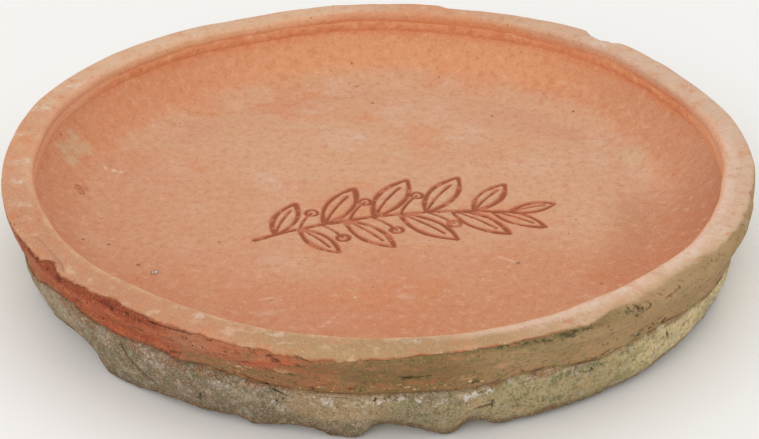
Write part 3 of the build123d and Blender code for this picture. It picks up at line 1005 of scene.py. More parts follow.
class Finish:
    """One clay finish: the places on the piece, and ways to make masks, colours and the bump."""

    def __init__(self, name):
        self.material = bpy.data.materials.new(name)
        self.material.use_nodes = True
        self.tree = self.material.node_tree
        self.shader = self.tree.nodes["Principled BSDF"]
        object_place = self.node("ShaderNodeTexCoord").outputs["Object"]
        self.place = self.vector("SCALE", object_place, scale=1 / MM)
        split = self.node("ShaderNodeSeparateXYZ", values={0: self.place})
        _, self.y, self.z = (Amount(self, socket) for socket in split.outputs)
        flat = self.vector("MULTIPLY", self.place, (1, 1, 0))
        self.radius = self.length(flat)
        self.outward = self.vector("NORMALIZE", flat)
        fog = self.node("ShaderNodeTexNoise", values={"Vector": self.place, "Scale": RAGGED_SCALE})
        drift = self.vector("SUBTRACT", fog.outputs["Color"], (0.5, 0.5, 0.5))
        self.ragged = self.vector("SCALE", drift, scale=RAGGED_REACH)

    def node(self, kind, settings=None, values=None):
        """Any node: its settings are set first, then the values or links of its sockets."""
        made = self.tree.nodes.new(kind)
        for name, setting in (settings or {}).items():
            setattr(made, name, setting)
        for key, value in (values or {}).items():
            value = value.socket if isinstance(value, Amount) else value
            if isinstance(value, bpy.types.NodeSocket):
                self.tree.links.new(value, made.inputs[key])
            else:
                made.inputs[key].default_value = value
        return made

    def vector(self, operation, *vectors, scale=None, output="Vector"):
        values = dict(enumerate(vectors))
        if scale is not None:
            values["Scale"] = scale
        made = self.node("ShaderNodeVectorMath", {"operation": operation}, values)
        return made.outputs[output]

    def length(self, vector):
        return Amount(self, self.vector("LENGTH", vector, output="Value"))

    def mask(self, name):
        """A mask kept on the mesh."""
        made = self.node("ShaderNodeAttribute", {"attribute_name": name})
        return Amount(self, made.outputs["Fac"])

    def cloud(self, size, detail, shift=0.0, stretch=(1, 1, 1)):
        """Soft noise from 0 to 1 with swells this many mm apart, drawn out along an axis."""
        share = [1 / (size * long) for long in stretch]
        shifts = (shift, shift * 1.7, shift * 0.6)
        moved = self.vector("MULTIPLY_ADD", self.place, share, shifts)
        values = {"Vector": moved, "Scale": 1.0, "Detail": detail, "Roughness": NOISE_ROUGHNESS}
        made = self.node("ShaderNodeTexNoise", values=values)
        return Amount(self, made.outputs[0])

    def grit(self, size, radius, share, shift):
        """Scattered grains: this far apart, this large, and this share of the cells filled."""
        moved = self.vector("MULTIPLY_ADD", self.place, [1 / size] * 3, [shift] * 3)
        cells = self.node("ShaderNodeTexVoronoi", values={"Vector": moved, "Scale": 1.0})
        picked = self.node("ShaderNodeSeparateColor", values={0: cells.outputs["Color"]})
        filled = Amount(self, picked.outputs[0]).ease(1 - share, 1.001 - share)
        grain = Amount(self, picked.outputs[1]) * 0.7 + 0.65
        reach = Amount(self, cells.outputs["Distance"]) - grain * (radius / size)
        return reach.ease(0.0, -0.35 * radius / size) * filled

    def sector(self, azimuth, full, fade):
        """1 within full degrees of this azimuth, soft to 0 at fade degrees."""
        turn = math.radians(azimuth)
        way = (math.cos(turn), math.sin(turn), 0)
        near = Amount(self, self.vector("DOT_PRODUCT", self.outward, way, output="Value"))
        return near.ease(math.cos(math.radians(fade)), math.cos(math.radians(full)))

    def blots(self, spots, wander):
        """Spots with ragged outlines. A spot is a place in mm, its reach level and upright."""
        place = self.vector("ADD", self.place, self.vector("SCALE", self.ragged, scale=wander))
        all_spots = None
        for x, y, z, wide, tall in spots:
            away = self.vector("SUBTRACT", place, (x, y, z))
            shares = self.vector("MULTIPLY", away, (1 / wide, 1 / wide, 1 / tall))
            spot = self.length(shares).ease(SPOT_SIDE, SPOT_HEART)
            all_spots = spot if all_spots is None else all_spots.most(spot)
        return all_spots

    def mix(self, under, over, amount):
        """One colour laid over another, as thick as the amount says."""
        values = {"Factor": amount, 6: under, 7: over}
        return self.node("ShaderNodeMix", {"data_type": "RGBA"}, values).outputs[2]

    def washes(self, colour, rows):
        """Washes laid over a colour in turn. A wash is red, green, blue and how thick it lies."""
        for red, green, blue, amount in rows:
            colour = self.mix(colour, paint(red, green, blue), amount)
        return colour

    def burnish(self, colour, relief, roughness):
        """Joins the colour, a bump from the relief in mm and the roughness to the shader."""
        self.shader.inputs["Specular IOR Level"].default_value = SHEEN
        bump = self.node("ShaderNodeBump", values={"Height": relief, "Distance": MM})
        bump.inputs["Strength"].default_value = 1.0
        ends = {"Base Color": colour, "Roughness": roughness.socket, "Normal": bump.outputs[0]}
        for name, socket in ends.items():
            self.tree.links.new(socket, self.shader.inputs[name])
        print(self.material.name, "has", len(self.tree.nodes), "nodes")
        return self.material


print("a mixed clay colour:", [round(share, 3) for share in paint(205, 143, 108)])

# %% [markdown]
# The inside is bare terracotta: orange where it is clean, and clouded with peach, pink and beige
# where salts have dried on it. One material serves the slab and the corner coil, so the clouds run
# across their joint unbroken, as they do on the fired piece. Washes through noise of several sizes
# give that look. A photograph as a texture would stretch, and would show its own light.
# The spots are listed first, then the masks by name, and last the washes in the order they lie.

# %% Pale clay finish
# Spots: x, y and z in mm, then the reach level and upright
BLOOMS = [
    (-18, 104, 13, 9, 4), (-25, 79, 13, 13, 7), (30, 105, 13, 9, 5), (15, 82, 13, 18, 6),
    (-15, 57, 13, 14, 7), (35, 63, 13, 11, 5), (-84, 34, 13, 12, 6), (-85, 21, 13, 14, 7),
    (-72, -2, 13, 10, 8), (-68, -31, 13, 9, 6), (-42, 23, 13, 10, 5), (-36, -38, 13, 9, 5),
    (85, 40, 13, 12, 6), (91, 56, 14, 9, 6), (61, 38, 13, 14, 6), (-37, -74, 13, 9, 5),
    (103, 28, 14, 8, 6),
]
BEIGE_SPOTS = [
    (-120.7, 36.4, 25.3, 4, 4), (-123.5, 25.4, 25.3, 4, 4), (-120, 30.3, 22.8, 5.5, 5),
    (-116.4, 34.7, 20.5, 4.5, 4), (-120.3, 22.3, 21.3, 4, 4), (102, 40.4, 14, 8, 4),
]
DARK_SPECKS = [
    (-9.8, 106, 13.6, 0.55, 1), (-2.7, 90.8, 13, 0.8, 1), (26.1, 110.5, 15.9, 0.5, 1),
    (47.6, 78.9, 13, 0.8, 1), (102.5, 50.9, 16, 0.75, 0.8), (81.1, 78, 15.3, 0.9, 0.9),
    (-99.5, -28.4, 13.3, 0.75, 1), (-108.4, -29.7, 16, 0.6, 1), (-87, -42.7, 13, 0.85, 1),
    (-58.9, -26.7, 13, 0.5, 1), (-124.8, 29.8, 29.6, 1.1, 1.1), (-124.4, 31.4, 28.3, 0.9, 0.9),
    (50.6, -41.5, 13, 1, 1), (74.6, -9.2, 13, 0.45, 1), (-11.9, 118, 18.9, 0.6, 0.6),
]
RED_SPOTS = [
    (-116, 7.8, 16.7, 2.6, 2), (-113.6, 9.2, 15.4, 2.2, 1.8), (-114.6, 5.2, 15.8, 2.2, 1.6),
]
WHITE_STREAK = [
    (-107.3, 28.2, 15, 1.5, 0.9), (-104.6, 28.1, 14.1, 1.5, 0.9), (-101.8, 27.8, 13.5, 1.3, 0.8),
]
NODULE, NODULE_SHADE = [(-80.7, -48.0, 13, 1.6, 1.6)], [(-80.2, -48.9, 13, 2.4, 1.6)]
# Where the joints under the rim stand open: azimuth, then degrees to either side, full and faded
OPEN_JOINT = (82, 58, 74)

pale = Finish("pale_clay_finish")
back_share = pale.y.ease(-95, 50) * 0.75
clouds = pale.cloud(46, 3, 1.3, (1.6, 1, 1)) * 0.9
streaks = pale.cloud(7, 4, 5.0, (3, 1, 1))
blooms = pale.blots(BLOOMS, 3.2) * pale.cloud(5, 4, 5.0, (1.6, 1, 1)).ease(0.36, 0.7)
slope = pale.z.ease(14.5, 20)
joint_noise = pale.cloud(15, 3, 2.0, (1, 1, 3))
open_joint = pale.sector(*OPEN_JOINT)
near_joint = (pale.z + joint_noise * 5.0).ease(29.6, 33.0) * open_joint
grain = pale.cloud(3.4, 4, 12.0)
fine = pale.cloud(1.5, 3, 4.0)
finest = pale.cloud(0.7, 2, 6.0)
light_grit = pale.grit(6.5, 0.42, 0.4, 2.0)
dark_grit = pale.grit(9.0, 0.36, 0.3, 5.0)
streak = pale.blots(WHITE_STREAK, 0.6)
specks = pale.blots(DARK_SPECKS, 0.3) * finest.ease(0.3, 0.55)
red_spots = pale.blots(RED_SPOTS, 0.8)
nodule = pale.blots(NODULE, 1.0) * pale.cloud(1.2, 3, 2.0).ease(0.4, 0.52)
scratched_share = pale.mask("scratched")
pressed_share = pale.mask("pressed")
underside = pale.z.ease(11, 6)
pale_colour = pale.washes(paint(203, 134, 97), [
    (210, 162, 128, (clouds + back_share + pale.z.ease(19, 13) * 0.25).ease(0.52, 1.25)),
    (205, 148, 122, pale.cloud(24, 3, 7.1, (1.8, 1, 1)).ease(0.5, 0.72) * 0.45),
    (212, 131, 89, pale.cloud(30, 3, 3.7, (1.3, 1, 1)).ease(0.5, 0.74) * 0.55),
    (204, 162, 114, pale.cloud(17, 3, 11.0, (1.6, 1, 1)).ease(0.55, 0.75) * 0.4),
    (220, 188, 168, streaks.ease(0.56, 0.78) * pale.cloud(28, 2, 9.0).ease(0.42, 0.6) * 0.34),
    (220, 188, 168, blooms * 0.42),
    (205, 138, 102, pale.sector(192, 22, 44) * pale.radius.ease(30, 60) * 0.4),
    # Painted light and shade on the sloping inside: lighter at the back, darker at the right and
    # the left.
    (219, 152, 108, slope * pale.sector(95, 60, 100) * 0.85),
    (192, 134, 104, slope * pale.sector(0, 32, 60) * 0.5),
    (204, 138, 102, slope * pale.sector(180, 40, 75) * 0.6),
    (182, 116, 82, pale.sector(-16, 10, 26) * pale.radius.ease(82, 98) * 0.5),
    (200, 134, 94, pale.sector(-48, 18, 34) * pale.radius.ease(40, 70) * 0.3),
    (204, 170, 135, pale.blots(BEIGE_SPOTS, 1.6) * 0.8),
    (213, 132, 88, near_joint * 0.7),
    (210, 130, 88, (pale.z + joint_noise * 2.4).ease(30.2, 32.4) * open_joint * 0.6),
    (194, 118, 80, grain.ease(0.5, 0.72) * 0.42),
    (224, 178, 146, grain.ease(0.47, 0.28) * 0.4),
    (172, 104, 72, fine.ease(0.5, 0.8) * 0.44),
    (234, 192, 160, finest.ease(0.52, 0.8) * 0.42),
    (240, 210, 182, light_grit * 0.8),
    (140, 82, 55, dark_grit * 0.75),
    (232, 200, 172, streak * 0.6),
    (128, 76, 50, specks * 0.65),
    (182, 84, 54, red_spots * finest.ease(0.42, 0.58) * 0.85),
    (160, 104, 76, pale.blots(NODULE_SHADE, 1.0) * 0.5),
    (236, 222, 210, nodule * 0.9),
    (232, 200, 172, scratched_share * 0.6),
    (186, 108, 76, pressed_share.ease(0.12, 0.75) * 0.85),
    (148, 76, 50, (pressed_share * pale.cloud(5, 3).ease(0.25, 0.5)).ease(0.65, 0.95) * 0.8),
    (168, 128, 100, underside * pale.cloud(12, 4).ease(0.3, 0.7) * 0.7),
])
pale_relief = fine * 0.22 + finest * 0.14 + pale.cloud(4.5, 3, 8.0) * 0.3
pale_relief += light_grit * 0.2 - dark_grit * 0.3 - specks * 0.5
pale_relief += nodule * 0.9 + red_spots * finest * 0.8
pale_clay = pale.burnish(pale_colour, pale_relief, fine * 0.16 + 0.76)

floor_slab.data.materials.append(pale_clay)
corner_coil.data.materials.append(pale_clay)

# %% [markdown]
# The outer side shows how the saucer aged, and it runs without a break from the foot band to the
# top edge, over the wall and the rim coil alike. At the left front the outer skin is gone and the
# body is brick red. Towards the middle a brown and olive film covers it, and on the right it is tan
# with patches of green-black algae under the top edge. So these washes are written once, and both
# finishes lay them. Sectors fade one look into the next, and squeezed noise draws the film along.

# %% The weathered side
SIDE_BODY = paint(169, 140, 100)
# Spots on the side: azimuth in degrees and height, then the reach along and upright in mm
ALGAE = [
    (-63.9, 37.3, 4.4, 1.7), (-65.4, 37.6, 2.6, 1.1), (-61.4, 37.7, 2.8, 0.9),
    (-68.9, 37.3, 3.6, 0.9), (-71.1, 37.2, 3.4, 0.8), (-74, 37.6, 3.2, 0.6), (-64.8, 36, 2.6, 1),
    (-67, 36.2, 3.2, 0.8), (-53, 38, 2.8, 1.6), (-54.3, 37.6, 2.6, 1.1), (-50.7, 37, 1.8, 0.9),
    (-53.2, 35.6, 1.8, 1), (-51.8, 36.6, 2.4, 1.2), (-56.6, 30.2, 1.8, 0.9), (-56, 24.3, 1.4, 0.8),
    (-45.2, 22.9, 2.6, 0.9), (-47.6, 22.9, 2.8, 0.9), (-50.2, 22.7, 2.6, 0.9),
    (-58, 20.2, 2.2, 0.6), (-83.9, 26.7, 3, 0.8), (-86.3, 27, 3.4, 0.8), (-101.9, 26.1, 1.8, 1.1),
    (-100.2, 32.4, 1.6, 0.9), (-92.5, 21, 1.8, 1), (-39.8, 32.8, 1.4, 0.7),
    (-37.6, 33.2, 1.8, 0.5), (-24.2, 37.4, 0.9, 1), (-121, 22.8, 2.2, 0.8),
    (-76.4, 21.6, 2.6, 0.8),
]
OLIVE_PATCHES = [
    (-108.1, 23.9, 3, 1.2), (-105.6, 23.8, 3.6, 1.4), (-107.2, 33.8, 2.4, 1.5),
    (-101, 32.6, 2.6, 1.2), (-97.6, 21.2, 2.6, 1.2), (-92.4, 21.4, 2.6, 1.2),
    (-112.4, 22.8, 3.4, 1.6), (-87.8, 20.4, 4, 0.8), (-82.6, 20.4, 4, 0.7),
    (-76.8, 22.6, 3.4, 1.4), (-71, 36.2, 7, 1.4), (-90.6, 26, 3, 1.2), (-66.6, 34.4, 3.4, 0.9),
    (-68.1, 32.4, 3, 0.8), (-69.6, 29.8, 2.6, 0.7),
]
BEIGE_PATCHES = [
    (-102.9, 27.2, 4, 1.8), (-110, 25.4, 3.2, 1.3), (-78.2, 24, 4, 1.4), (-73, 28.6, 4, 2),
    (-60.2, 25.6, 4, 1.6),
]
ORANGE_PATCHES = [(-107, 29.6, 3.6, 1.8), (-104.6, 31.6, 4.2, 2.6), (-101.8, 33, 2.8, 1.4)]
RUST_PATCHES = [
    (-108.8, 21.9, 2.4, 0.9), (-107.4, 21.3, 2.8, 1.1), (-105.8, 20.7, 2.6, 1),
    (-103.2, 20.6, 3.2, 0.9), (-84.9, 24, 3.2, 1.3), (-83, 23.6, 3.6, 1.4), (-80.6, 23.8, 3, 1),
    (-70.8, 22.8, 2.6, 0.6), (-95, 21.6, 4, 1.1), (-66.2, 38.7, 3.2, 0.6), (-63.6, 38.6, 3, 0.6),
    (-61, 38.1, 2.4, 0.6), (-79, 38.2, 4, 0.5), (-90, 22.4, 4, 1.1), (-99, 21.8, 3, 1),
    (-73, 38, 4, 0.5),
]
RED_MARKS = [
    (-103.3, 33.8, 1.7, 1), (-102.5, 32.2, 1.2, 0.8), (-104.2, 35.2, 2, 0.8),
    (-110.6, 32.4, 1, 0.8), (-56.1, 29.1, 1.2, 0.8), (-98.9, 20.5, 1.6, 0.7),
    (-93.7, 21.4, 1.4, 0.8), (-112.2, 21.6, 3.2, 1.1), (-129, 37.4, 5, 0.8),
    (-147.4, 37.4, 3.4, 1.1), (-152.4, 37.4, 3, 1), (-139.4, 36.6, 3, 1.4),
    (-136.6, 30.8, 1.6, 1.1), (-123.4, 36.4, 2, 0.8), (-119.5, 24.4, 3, 0.9),
    (-99.2, 36.2, 3, 0.7),
]
CRUMBS = [
    (-111, 24.7, 1.4, 0.7), (-109.4, 25.3, 1.5, 0.8), (-107.8, 26.1, 1.4, 0.7),
    (-97.8, 21.4, 1.2, 0.7), (-86.9, 23.3, 1, 0.7), (-85.9, 21.9, 1.1, 0.7), (-84.9, 21, 1.1, 0.7),
    (-90.8, 22.2, 0.9, 0.7), (-77.3, 22.4, 0.9, 0.6), (-75.5, 21.6, 0.9, 0.6),
    (-47.8, 20.6, 1.4, 0.6), (-44.6, 21.7, 1, 0.6), (-52.8, 21.3, 1.5, 0.7),
    (-35.5, 23.6, 1.3, 0.7),
]


def on_side(rows):
    """Spots given by azimuth, height and reach, put on the outer side."""
    azimuths, heights, *_ = zip(*rows)
    places = hand_wobble(side_spots(azimuths, heights))
    return [(*map(float, place), *row[2:]) for place, row in zip(places, rows)]


def weather_side(finish):
    """The colour of the outer side under all its washes, and its relief in mm."""
    cloud, sector, grit, z = finish.cloud, finish.sector, finish.grit, finish.z
    film = cloud(11, 4, 3.0, (2, 2, 0.55))
    thin_film = cloud(4.5, 4, 8.0, (2.4, 2.4, 0.7))
    mottle = cloud(6, 4, 6.0, (1.5, 1.5, 0.8))
    upper = (z + thin_film * 3.0).ease(36.8, 38.8)
    small = cloud(3.0, 4, 11.0, (1.5, 1.5, 0.8))
    middle_zone = sector(-84, 20, 34)
    brown_red = sector(-116, 10, 19)
    red_zone = sector(-139, 14, 24)
    red_share = sector(-130, 22, 32)
    lower = (z + mottle * 3.0).ease(29.6, 27.2) * sector(-108, 6, 12)
    broken = cloud(1.8, 4, 5.0)
    algae = finish.blots(on_side(ALGAE), 1.1) * broken.ease(0.36, 0.58)
    crumbly = sector(-92, 19, 26) * (z + mottle * 2.0).ease(25.4, 23.2)
    side_fine = cloud(1.3, 3, 4.0, (1.3, 1.3, 1))
    side_finest = cloud(0.6, 2, 6.0)
    side_pits = grit(2.9, 0.4, 0.55, 2.0)
    colour = finish.washes(SIDE_BODY, [
        (150, 124, 84, film.ease(0.42, 0.66) * 0.6),
        (176, 134, 96, mottle.ease(0.5, 0.7) * sector(-45, 40, 70) * 0.6),
        (180, 156, 122, thin_film.ease(0.54, 0.74) * sector(-40, 44, 64) * 0.5),
        (126, 96, 60, sector(-91, 7, 19) * (thin_film * 0.5 + 0.65)),
        (172, 122, 84, mottle.ease(0.54, 0.7) * sector(-86, 20, 30) * 0.5),
        (118, 102, 60, thin_film.ease(0.54, 0.74) * sector(-72, 30, 50) * 0.5),
        (108, 96, 56, upper * sector(-71, 9, 18) * 0.7),
        (112, 108, 62, small.ease(0.52, 0.66) * middle_zone * 0.45),
        (172, 120, 76, small.ease(0.45, 0.3) * middle_zone * 0.45),
        (167, 104, 76, brown_red * 0.9),
        (178, 94, 58, sector(-105, 5, 11) * mottle.ease(0.36, 0.56) * 0.5),
        (163, 79, 48, red_zone * 0.95),
        (132, 60, 36, red_zone * thin_film.ease(0.52, 0.68) * 0.5),
        (194, 96, 56, red_zone * mottle.ease(0.5, 0.66) * 0.65),
        (122, 62, 42, small.ease(0.53, 0.68) * red_share * 0.5),
        (206, 128, 88, small.ease(0.46, 0.3) * red_share * 0.4),
        # Painted shadow: the side at the left front is painted darker just under the rim's outer
        # edge.
        (134, 58, 34, red_zone * (z + mottle * 4.0).ease(36.4, 38.2) * 0.7),
        (160, 96, 64, red_zone * z.ease(27.0, 22.0) * film.ease(0.4, 0.6) * 0.5),
        (168, 104, 74, sector(-156, 5, 14) * mottle.ease(0.4, 0.6) * 0.8),
        (142, 104, 70, lower * 0.85),
        (112, 96, 58, lower * small.ease(0.48, 0.62) * 0.6),
        (194, 148, 108, finish.blots(on_side(BEIGE_PATCHES), 1.8) * small.ease(0.35, 0.6) * 0.7),
        (112, 104, 60, finish.blots(on_side(OLIVE_PATCHES), 1.6) * small.ease(0.62, 0.4) * 0.75),
        (186, 92, 58, finish.blots(on_side(ORANGE_PATCHES), 1.4) * small.ease(0.25, 0.5) * 0.85),
        (168, 104, 66, finish.blots(on_side(RUST_PATCHES), 1.6) * small.ease(0.3, 0.58) * 0.8),
        (112, 44, 28, finish.blots(on_side(RED_MARKS), 0.7) * 0.75),
        (60, 60, 34, algae * 0.85),
        (212, 182, 136, finish.blots(on_side(CRUMBS), 0.5) * broken.ease(0.58, 0.44) * 0.85),
        (194, 158, 104, grit(2.0, 0.5, 0.5, 3.0) * crumbly * 0.6),
        (92, 84, 44, grit(2.4, 0.55, 0.5, 7.0) * crumbly * 0.7),
        (92, 62, 38, side_fine.ease(0.52, 0.74) * 0.58),
        (214, 172, 124, side_finest.ease(0.52, 0.78) * 0.4),
        (72, 42, 28, side_pits * 0.75 * (red_share * 0.7 + 0.3)),
    ])
    relief = side_fine * 0.4 + side_finest * 0.18 + thin_film * 0.7 + side_pits * -0.4
    return colour, relief


print("spots of algae on the side:", len(ALGAE), "and red marks:", len(RED_MARKS))

# %% [markdown]
# The rim gets the most handling. Its top is pale pink and beige, greyer on the right where lime has
# dried, and browner in front. The pale skin ends at a ragged line near the outer edge. Past that
# line, and in the chips, the weathered side shows. The mesh keeps how far each place lies past the
# line, so the step in the clay and the change of colour fall together.

# %% Rim clay finish
# Lime on the rim: x, y and z in mm, then the reach level and upright
RIM_LIME = [
    (-121, 54, 39, 5, 3), (-132, 34, 39, 5, 3), (-131.6, -25, 39, 4, 3), (-130, -12, 39, 5, 3),
    (-76, 103, 38, 2, 2), (93, 95, 39, 5, 3), (-57, -117, 39, 3, 2), (-32, -128, 39, 3, 2),
    (8, -131, 39, 6, 1.5), (58.4, -116, 39, 4, 2), (65.9, -113.8, 39, 3, 2),
    (70, -110.4, 39, 3, 2), (80.8, -102, 39, 4, 2), (103.5, -83.7, 39, 4, 2),
    (107.6, -77.3, 39, 4, 2), (118, -62, 39, 4, 2), (-77.2, 103.4, 37, 3, 2),
    (-119.5, 53.3, 39, 4, 2), (-130.8, 35.8, 39, 4, 2), (-137, 12, 39, 3, 2),
    (-130.3, -26.5, 39, 4, 2), (-119.6, 47.4, 36.4, 2, 1.6),
]
BARE_DOT = [(108, -81.8, 39, 1.9, 1.2)]
BARE_BACK = [(-129.6, -53.0, 38.6, 3.0, 2.0), (-128.4, -56.0, 38.4, 2.2, 2.0)]

rim = Finish("rim_clay_finish")
rim_mottle = rim.cloud(5.5, 4, 12.0)
inner_way = rim.mask("from_inner")
pale_strip = inner_way.ease(6.5, 3.5) * inner_way.ease(0.6, 2.2) * rim.sector(-36, 34, 50)
# A painted highlight: a pale yellowish band along the top of the rim's inner edge, strongest in
# front.
painted_inner_edge_highlight = inner_way.ease(4.4, 2.4) * inner_way.ease(0.8, 2.0) * rim.z.ease(37.0, 38.0)
inner_face = inner_way.ease(2.2, 0.5)
open_joint = rim.sector(*OPEN_JOINT)
above_lip = rim.mask("above_lip")
face_low = above_lip.ease(2.4, 0.8) * rim.sector(48, 26, 40) * 0.4
face_clean = 0.12 + 0.5 * rim.sector(84, 16, 30) + face_low
joint_line = (above_lip + rim.cloud(6, 3, 3.0, (1, 1, 2)) * 1.4).ease(2.1, 0.9)
rim_fine = rim.cloud(1.6, 3, 4.0)
rim_finest = rim.cloud(0.7, 2, 6.0)
rim_grit = rim.grit(5.0, 0.36, 0.4, 3.0)
rim_dots = rim.grit(7.0, 0.36, 0.4, 8.0)
past_pale_share = rim.mask("past_pale") + rim.cloud(1.6, 3, 9.0) * 1.2
end_line = past_pale_share.ease(-0.3, 0.4) * rim.sector(-106, 38, 48) * rim_mottle.ease(0.36, 0.56)
right_edge = rim.sector(-36, 24, 36)
rim_top_colour = rim.washes(paint(208, 154, 120), [
    (214, 146, 105, rim.cloud(22, 3, 2.0).ease(0.46, 0.68) * 0.65),
    (206, 168, 126, rim.cloud(13, 3, 5.0).ease(0.46, 0.66) * 0.5),
    (208, 180, 158, rim.sector(8, 38, 70) * (rim.cloud(14, 3, 7.0) * 0.8 + 0.3)),
    (190, 134, 101, rim.sector(-136, 18, 42) * (rim.cloud(9, 3, 1.0) * 0.8 + 0.35)),
    (172, 139, 99, rim.sector(-82, 14, 34) * rim.cloud(10, 3, 6.0).ease(0.2, 0.5) * 0.9),
    (208, 174, 144, rim.sector(-42, 16, 34) * rim.cloud(10, 3, 1.0).ease(0.3, 0.6) * 0.7),
    (217, 180, 150, rim.sector(126, 24, 44) * (rim.cloud(9, 3, 4.0) * 0.9 + 0.3)),
    (206, 126, 86, rim_mottle.ease(0.52, 0.7) * 0.45),
    (218, 184, 152, rim_mottle.ease(0.46, 0.3) * 0.5),
    (224, 190, 170, pale_strip * rim.cloud(7, 4, 8.0).ease(0.3, 0.54) * 0.8),
    (224, 204, 186, rim.blots(RIM_LIME, 2.0) * rim.cloud(3, 4, 3.0).ease(0.36, 0.62) * 0.52),
    (212, 178, 138, painted_inner_edge_highlight * rim.sector(-110, 50, 80) * rim.cloud(9, 4).ease(0.38, 0.66) * 0.6),
    (216, 146, 102, inner_face * open_joint * face_clean),
    # Painted light: the inner face at the back left, shaded by the rim's overhang, is painted
    # lighter.
    (232, 182, 140, inner_face * rim.sector(128, 22, 32) * 0.5),
    (224, 166, 130, inner_way.ease(3.0, 1.2) * (1 - open_joint) * 0.7),
    (212, 130, 86, joint_line * inner_face * open_joint * 0.65),
    (204, 112, 70, rim.blots(BARE_DOT, 1.0) * 0.7),
    (208, 112, 70, rim.blots(BARE_BACK, 1.4) * 0.7),
    (164, 106, 74, rim_fine.ease(0.5, 0.8) * 0.42),
    (238, 206, 176, rim_finest.ease(0.52, 0.8) * 0.38),
    (238, 216, 192, rim_grit * 0.7),
    (132, 82, 56, rim_dots * 0.7),
    (168, 92, 54, end_line * 0.7),
    (190, 158, 116, past_pale_share.ease(-2.0, 0.5) * right_edge * (rim_mottle * 0.6 + 0.3)),
])

# %% Side and chips of the rim
side_colour, side_relief = weather_side(rim)
chipped = rim.mask("bare")
sharp = past_pale_share.ease(0.5, 1.2) * (1 - right_edge)
soft = (past_pale_share + rim_mottle * 2.0 - 1.0).ease(-0.5, 1.5) * right_edge
stained = (sharp + soft).most(chipped.ease(0.2, 0.7) * rim.sector(-100, 60, 75))
fresh_break = chipped * rim.sector(-138, 14, 22)
# The cracked mask also holds the line under the lip, so its dark wash there is a painted shadow.
rim_hollows = rim.mask("cracked").most(rim.mask("pitted"))
hidden = 1 - rim.z.ease(38.0, 38.4) * 0.75
rim_colour = rim.washes(rim.mix(rim_top_colour, side_colour, stained), [
    (196, 138, 100, chipped.ease(0.2, 0.7) * rim.sector(60, 80, 95) * 0.35),
    (150, 74, 48, fresh_break.ease(0.2, 0.7) * rim_fine.ease(0.36, 0.6) * 0.8),
    (92, 50, 32, rim_hollows.ease(0.25, 0.9) * hidden * 0.72),
])
rim_relief = rim_fine * 0.28 + rim_finest * 0.14 + rim.cloud(5, 3, 2.5) * 0.4
rim_relief += rim_grit * 0.25 - rim_dots * 0.35 - rim_hollows * 0.3
rim_relief += side_relief * stained
rim_clay_finish = rim.burnish(rim_colour, rim_relief, rim_fine * 0.18 + 0.74)

rim_coil.data.materials.append(rim_clay_finish)

# %% [markdown]
# The wall wears the weathered side all over its outer face. Its inner face is the clean orange bead
# below the rim, with a deeper orange in the line where it meets the corner coil. A broken brown
# line is painted along the seam above the foot band.

# %% Wall clay finish
wall = Finish("wall_clay_finish")
wall_side_colour, wall_relief = weather_side(wall)
inner_bead = wall.mask("inner")
bead_grain = wall.cloud(3.2, 4, 12.0)
open_joint = wall.sector(*OPEN_JOINT)
open_bead = inner_bead * open_joint
bead_noise = wall.cloud(9, 3, 0, (1, 1, 4)) * 2.0
seam_noise = wall.cloud(5, 4, 8.0, (2, 2, 1))
seam_line = (wall.mask("over_seam") + seam_noise * 1.5).ease(2.0, 0.9)
outer_face = wall.radius.ease(131.6, 132.4)
seam_darkening = (0.65 - 0.45 * wall.sector(-22, 26, 42)) * wall.cloud(7, 3, 1.0).ease(0.35, 0.6)
hollows = wall.mask("cracked").most(wall.mask("pitted"))
wall_colour = wall.washes(wall_side_colour, [
    (224, 156, 114, inner_bead),
    (196, 120, 80, inner_bead * bead_grain.ease(0.48, 0.68) * 0.5),
    (234, 190, 152, inner_bead * bead_grain.ease(0.46, 0.3) * 0.5),
    (236, 204, 176, inner_bead * wall.sector(160, 3, 6) * 0.6),
    (226, 168, 130, inner_bead * (1 - open_joint) * 0.9),
    (214, 134, 90, open_bead * (wall.z + bead_noise).ease(32.6, 30.6) * 0.4),
    (218, 140, 96, open_bead * (wall.z + bead_noise).ease(34.2, 36.0) * 0.5),
    (112, 80, 50, seam_line * outer_face * seam_darkening),
    (80, 46, 30, hollows.ease(0.25, 0.9) * 0.72),
])
wall_relief -= hollows * 0.3
wall_clay_finish = wall.burnish(wall_colour, wall_relief, wall.cloud(1.3, 3) * 0.14 + 0.8)

wall_strip.data.materials.append(wall_clay_finish)

# %% [markdown]
# The foot band stood on wet ground. A crust of soil and lime hides its clay: grey-beige on the
# left, grey-green in the middle and yellow-olive on the right, salt-and-pepper all over, white with
# lime below the seam and brown at the lowest edge. The grain is what makes it read as crust, so
# three sizes of noise drive both its colour and its bump.

# %% Crusted clay finish
# Spots on the band: azimuth and height, then the reach along and upright
LIME = [
    (-137.9, 19.8, 2.6, 1.5), (-125.7, 21.4, 2.8, 1.6), (-124, 19.4, 4.2, 2.6),
    (-122, 17.4, 3, 2.2), (-97.9, 18.2, 1.8, 1.3), (-97.2, 16.8, 1.8, 1.4),
    (-96.5, 15.4, 1.8, 1.4), (-95.9, 14.2, 1.6, 1.2), (-93.7, 15.4, 2.8, 1.4),
    (-91.6, 16.9, 2.6, 1.2), (-89.4, 17.4, 2.8, 1.2), (-86.6, 17.5, 3, 1.2), (-83.8, 17.3, 3, 1.1),
    (-81.4, 15.8, 2.8, 1.1), (-68.6, 19.2, 2.8, 0.9), (-37, 17.6, 2.8, 0.9), (-32, 16.8, 2.8, 0.9),
    (-112, 17, 3.4, 1.3), (-104, 13, 3.4, 1.8), (-147.5, 15, 3, 2), (-134, 17.4, 2.4, 1.2),
]
WHITE_LIME = [
    (-77.9, 16.6, 2, 1.3), (-76.6, 17.4, 1.8, 1), (-74.7, 18.2, 1.8, 0.9), (-96.8, 16, 1.2, 1.6),
    (-89.8, 17.2, 2.2, 0.6), (-84.4, 17.2, 2.4, 0.5),
]
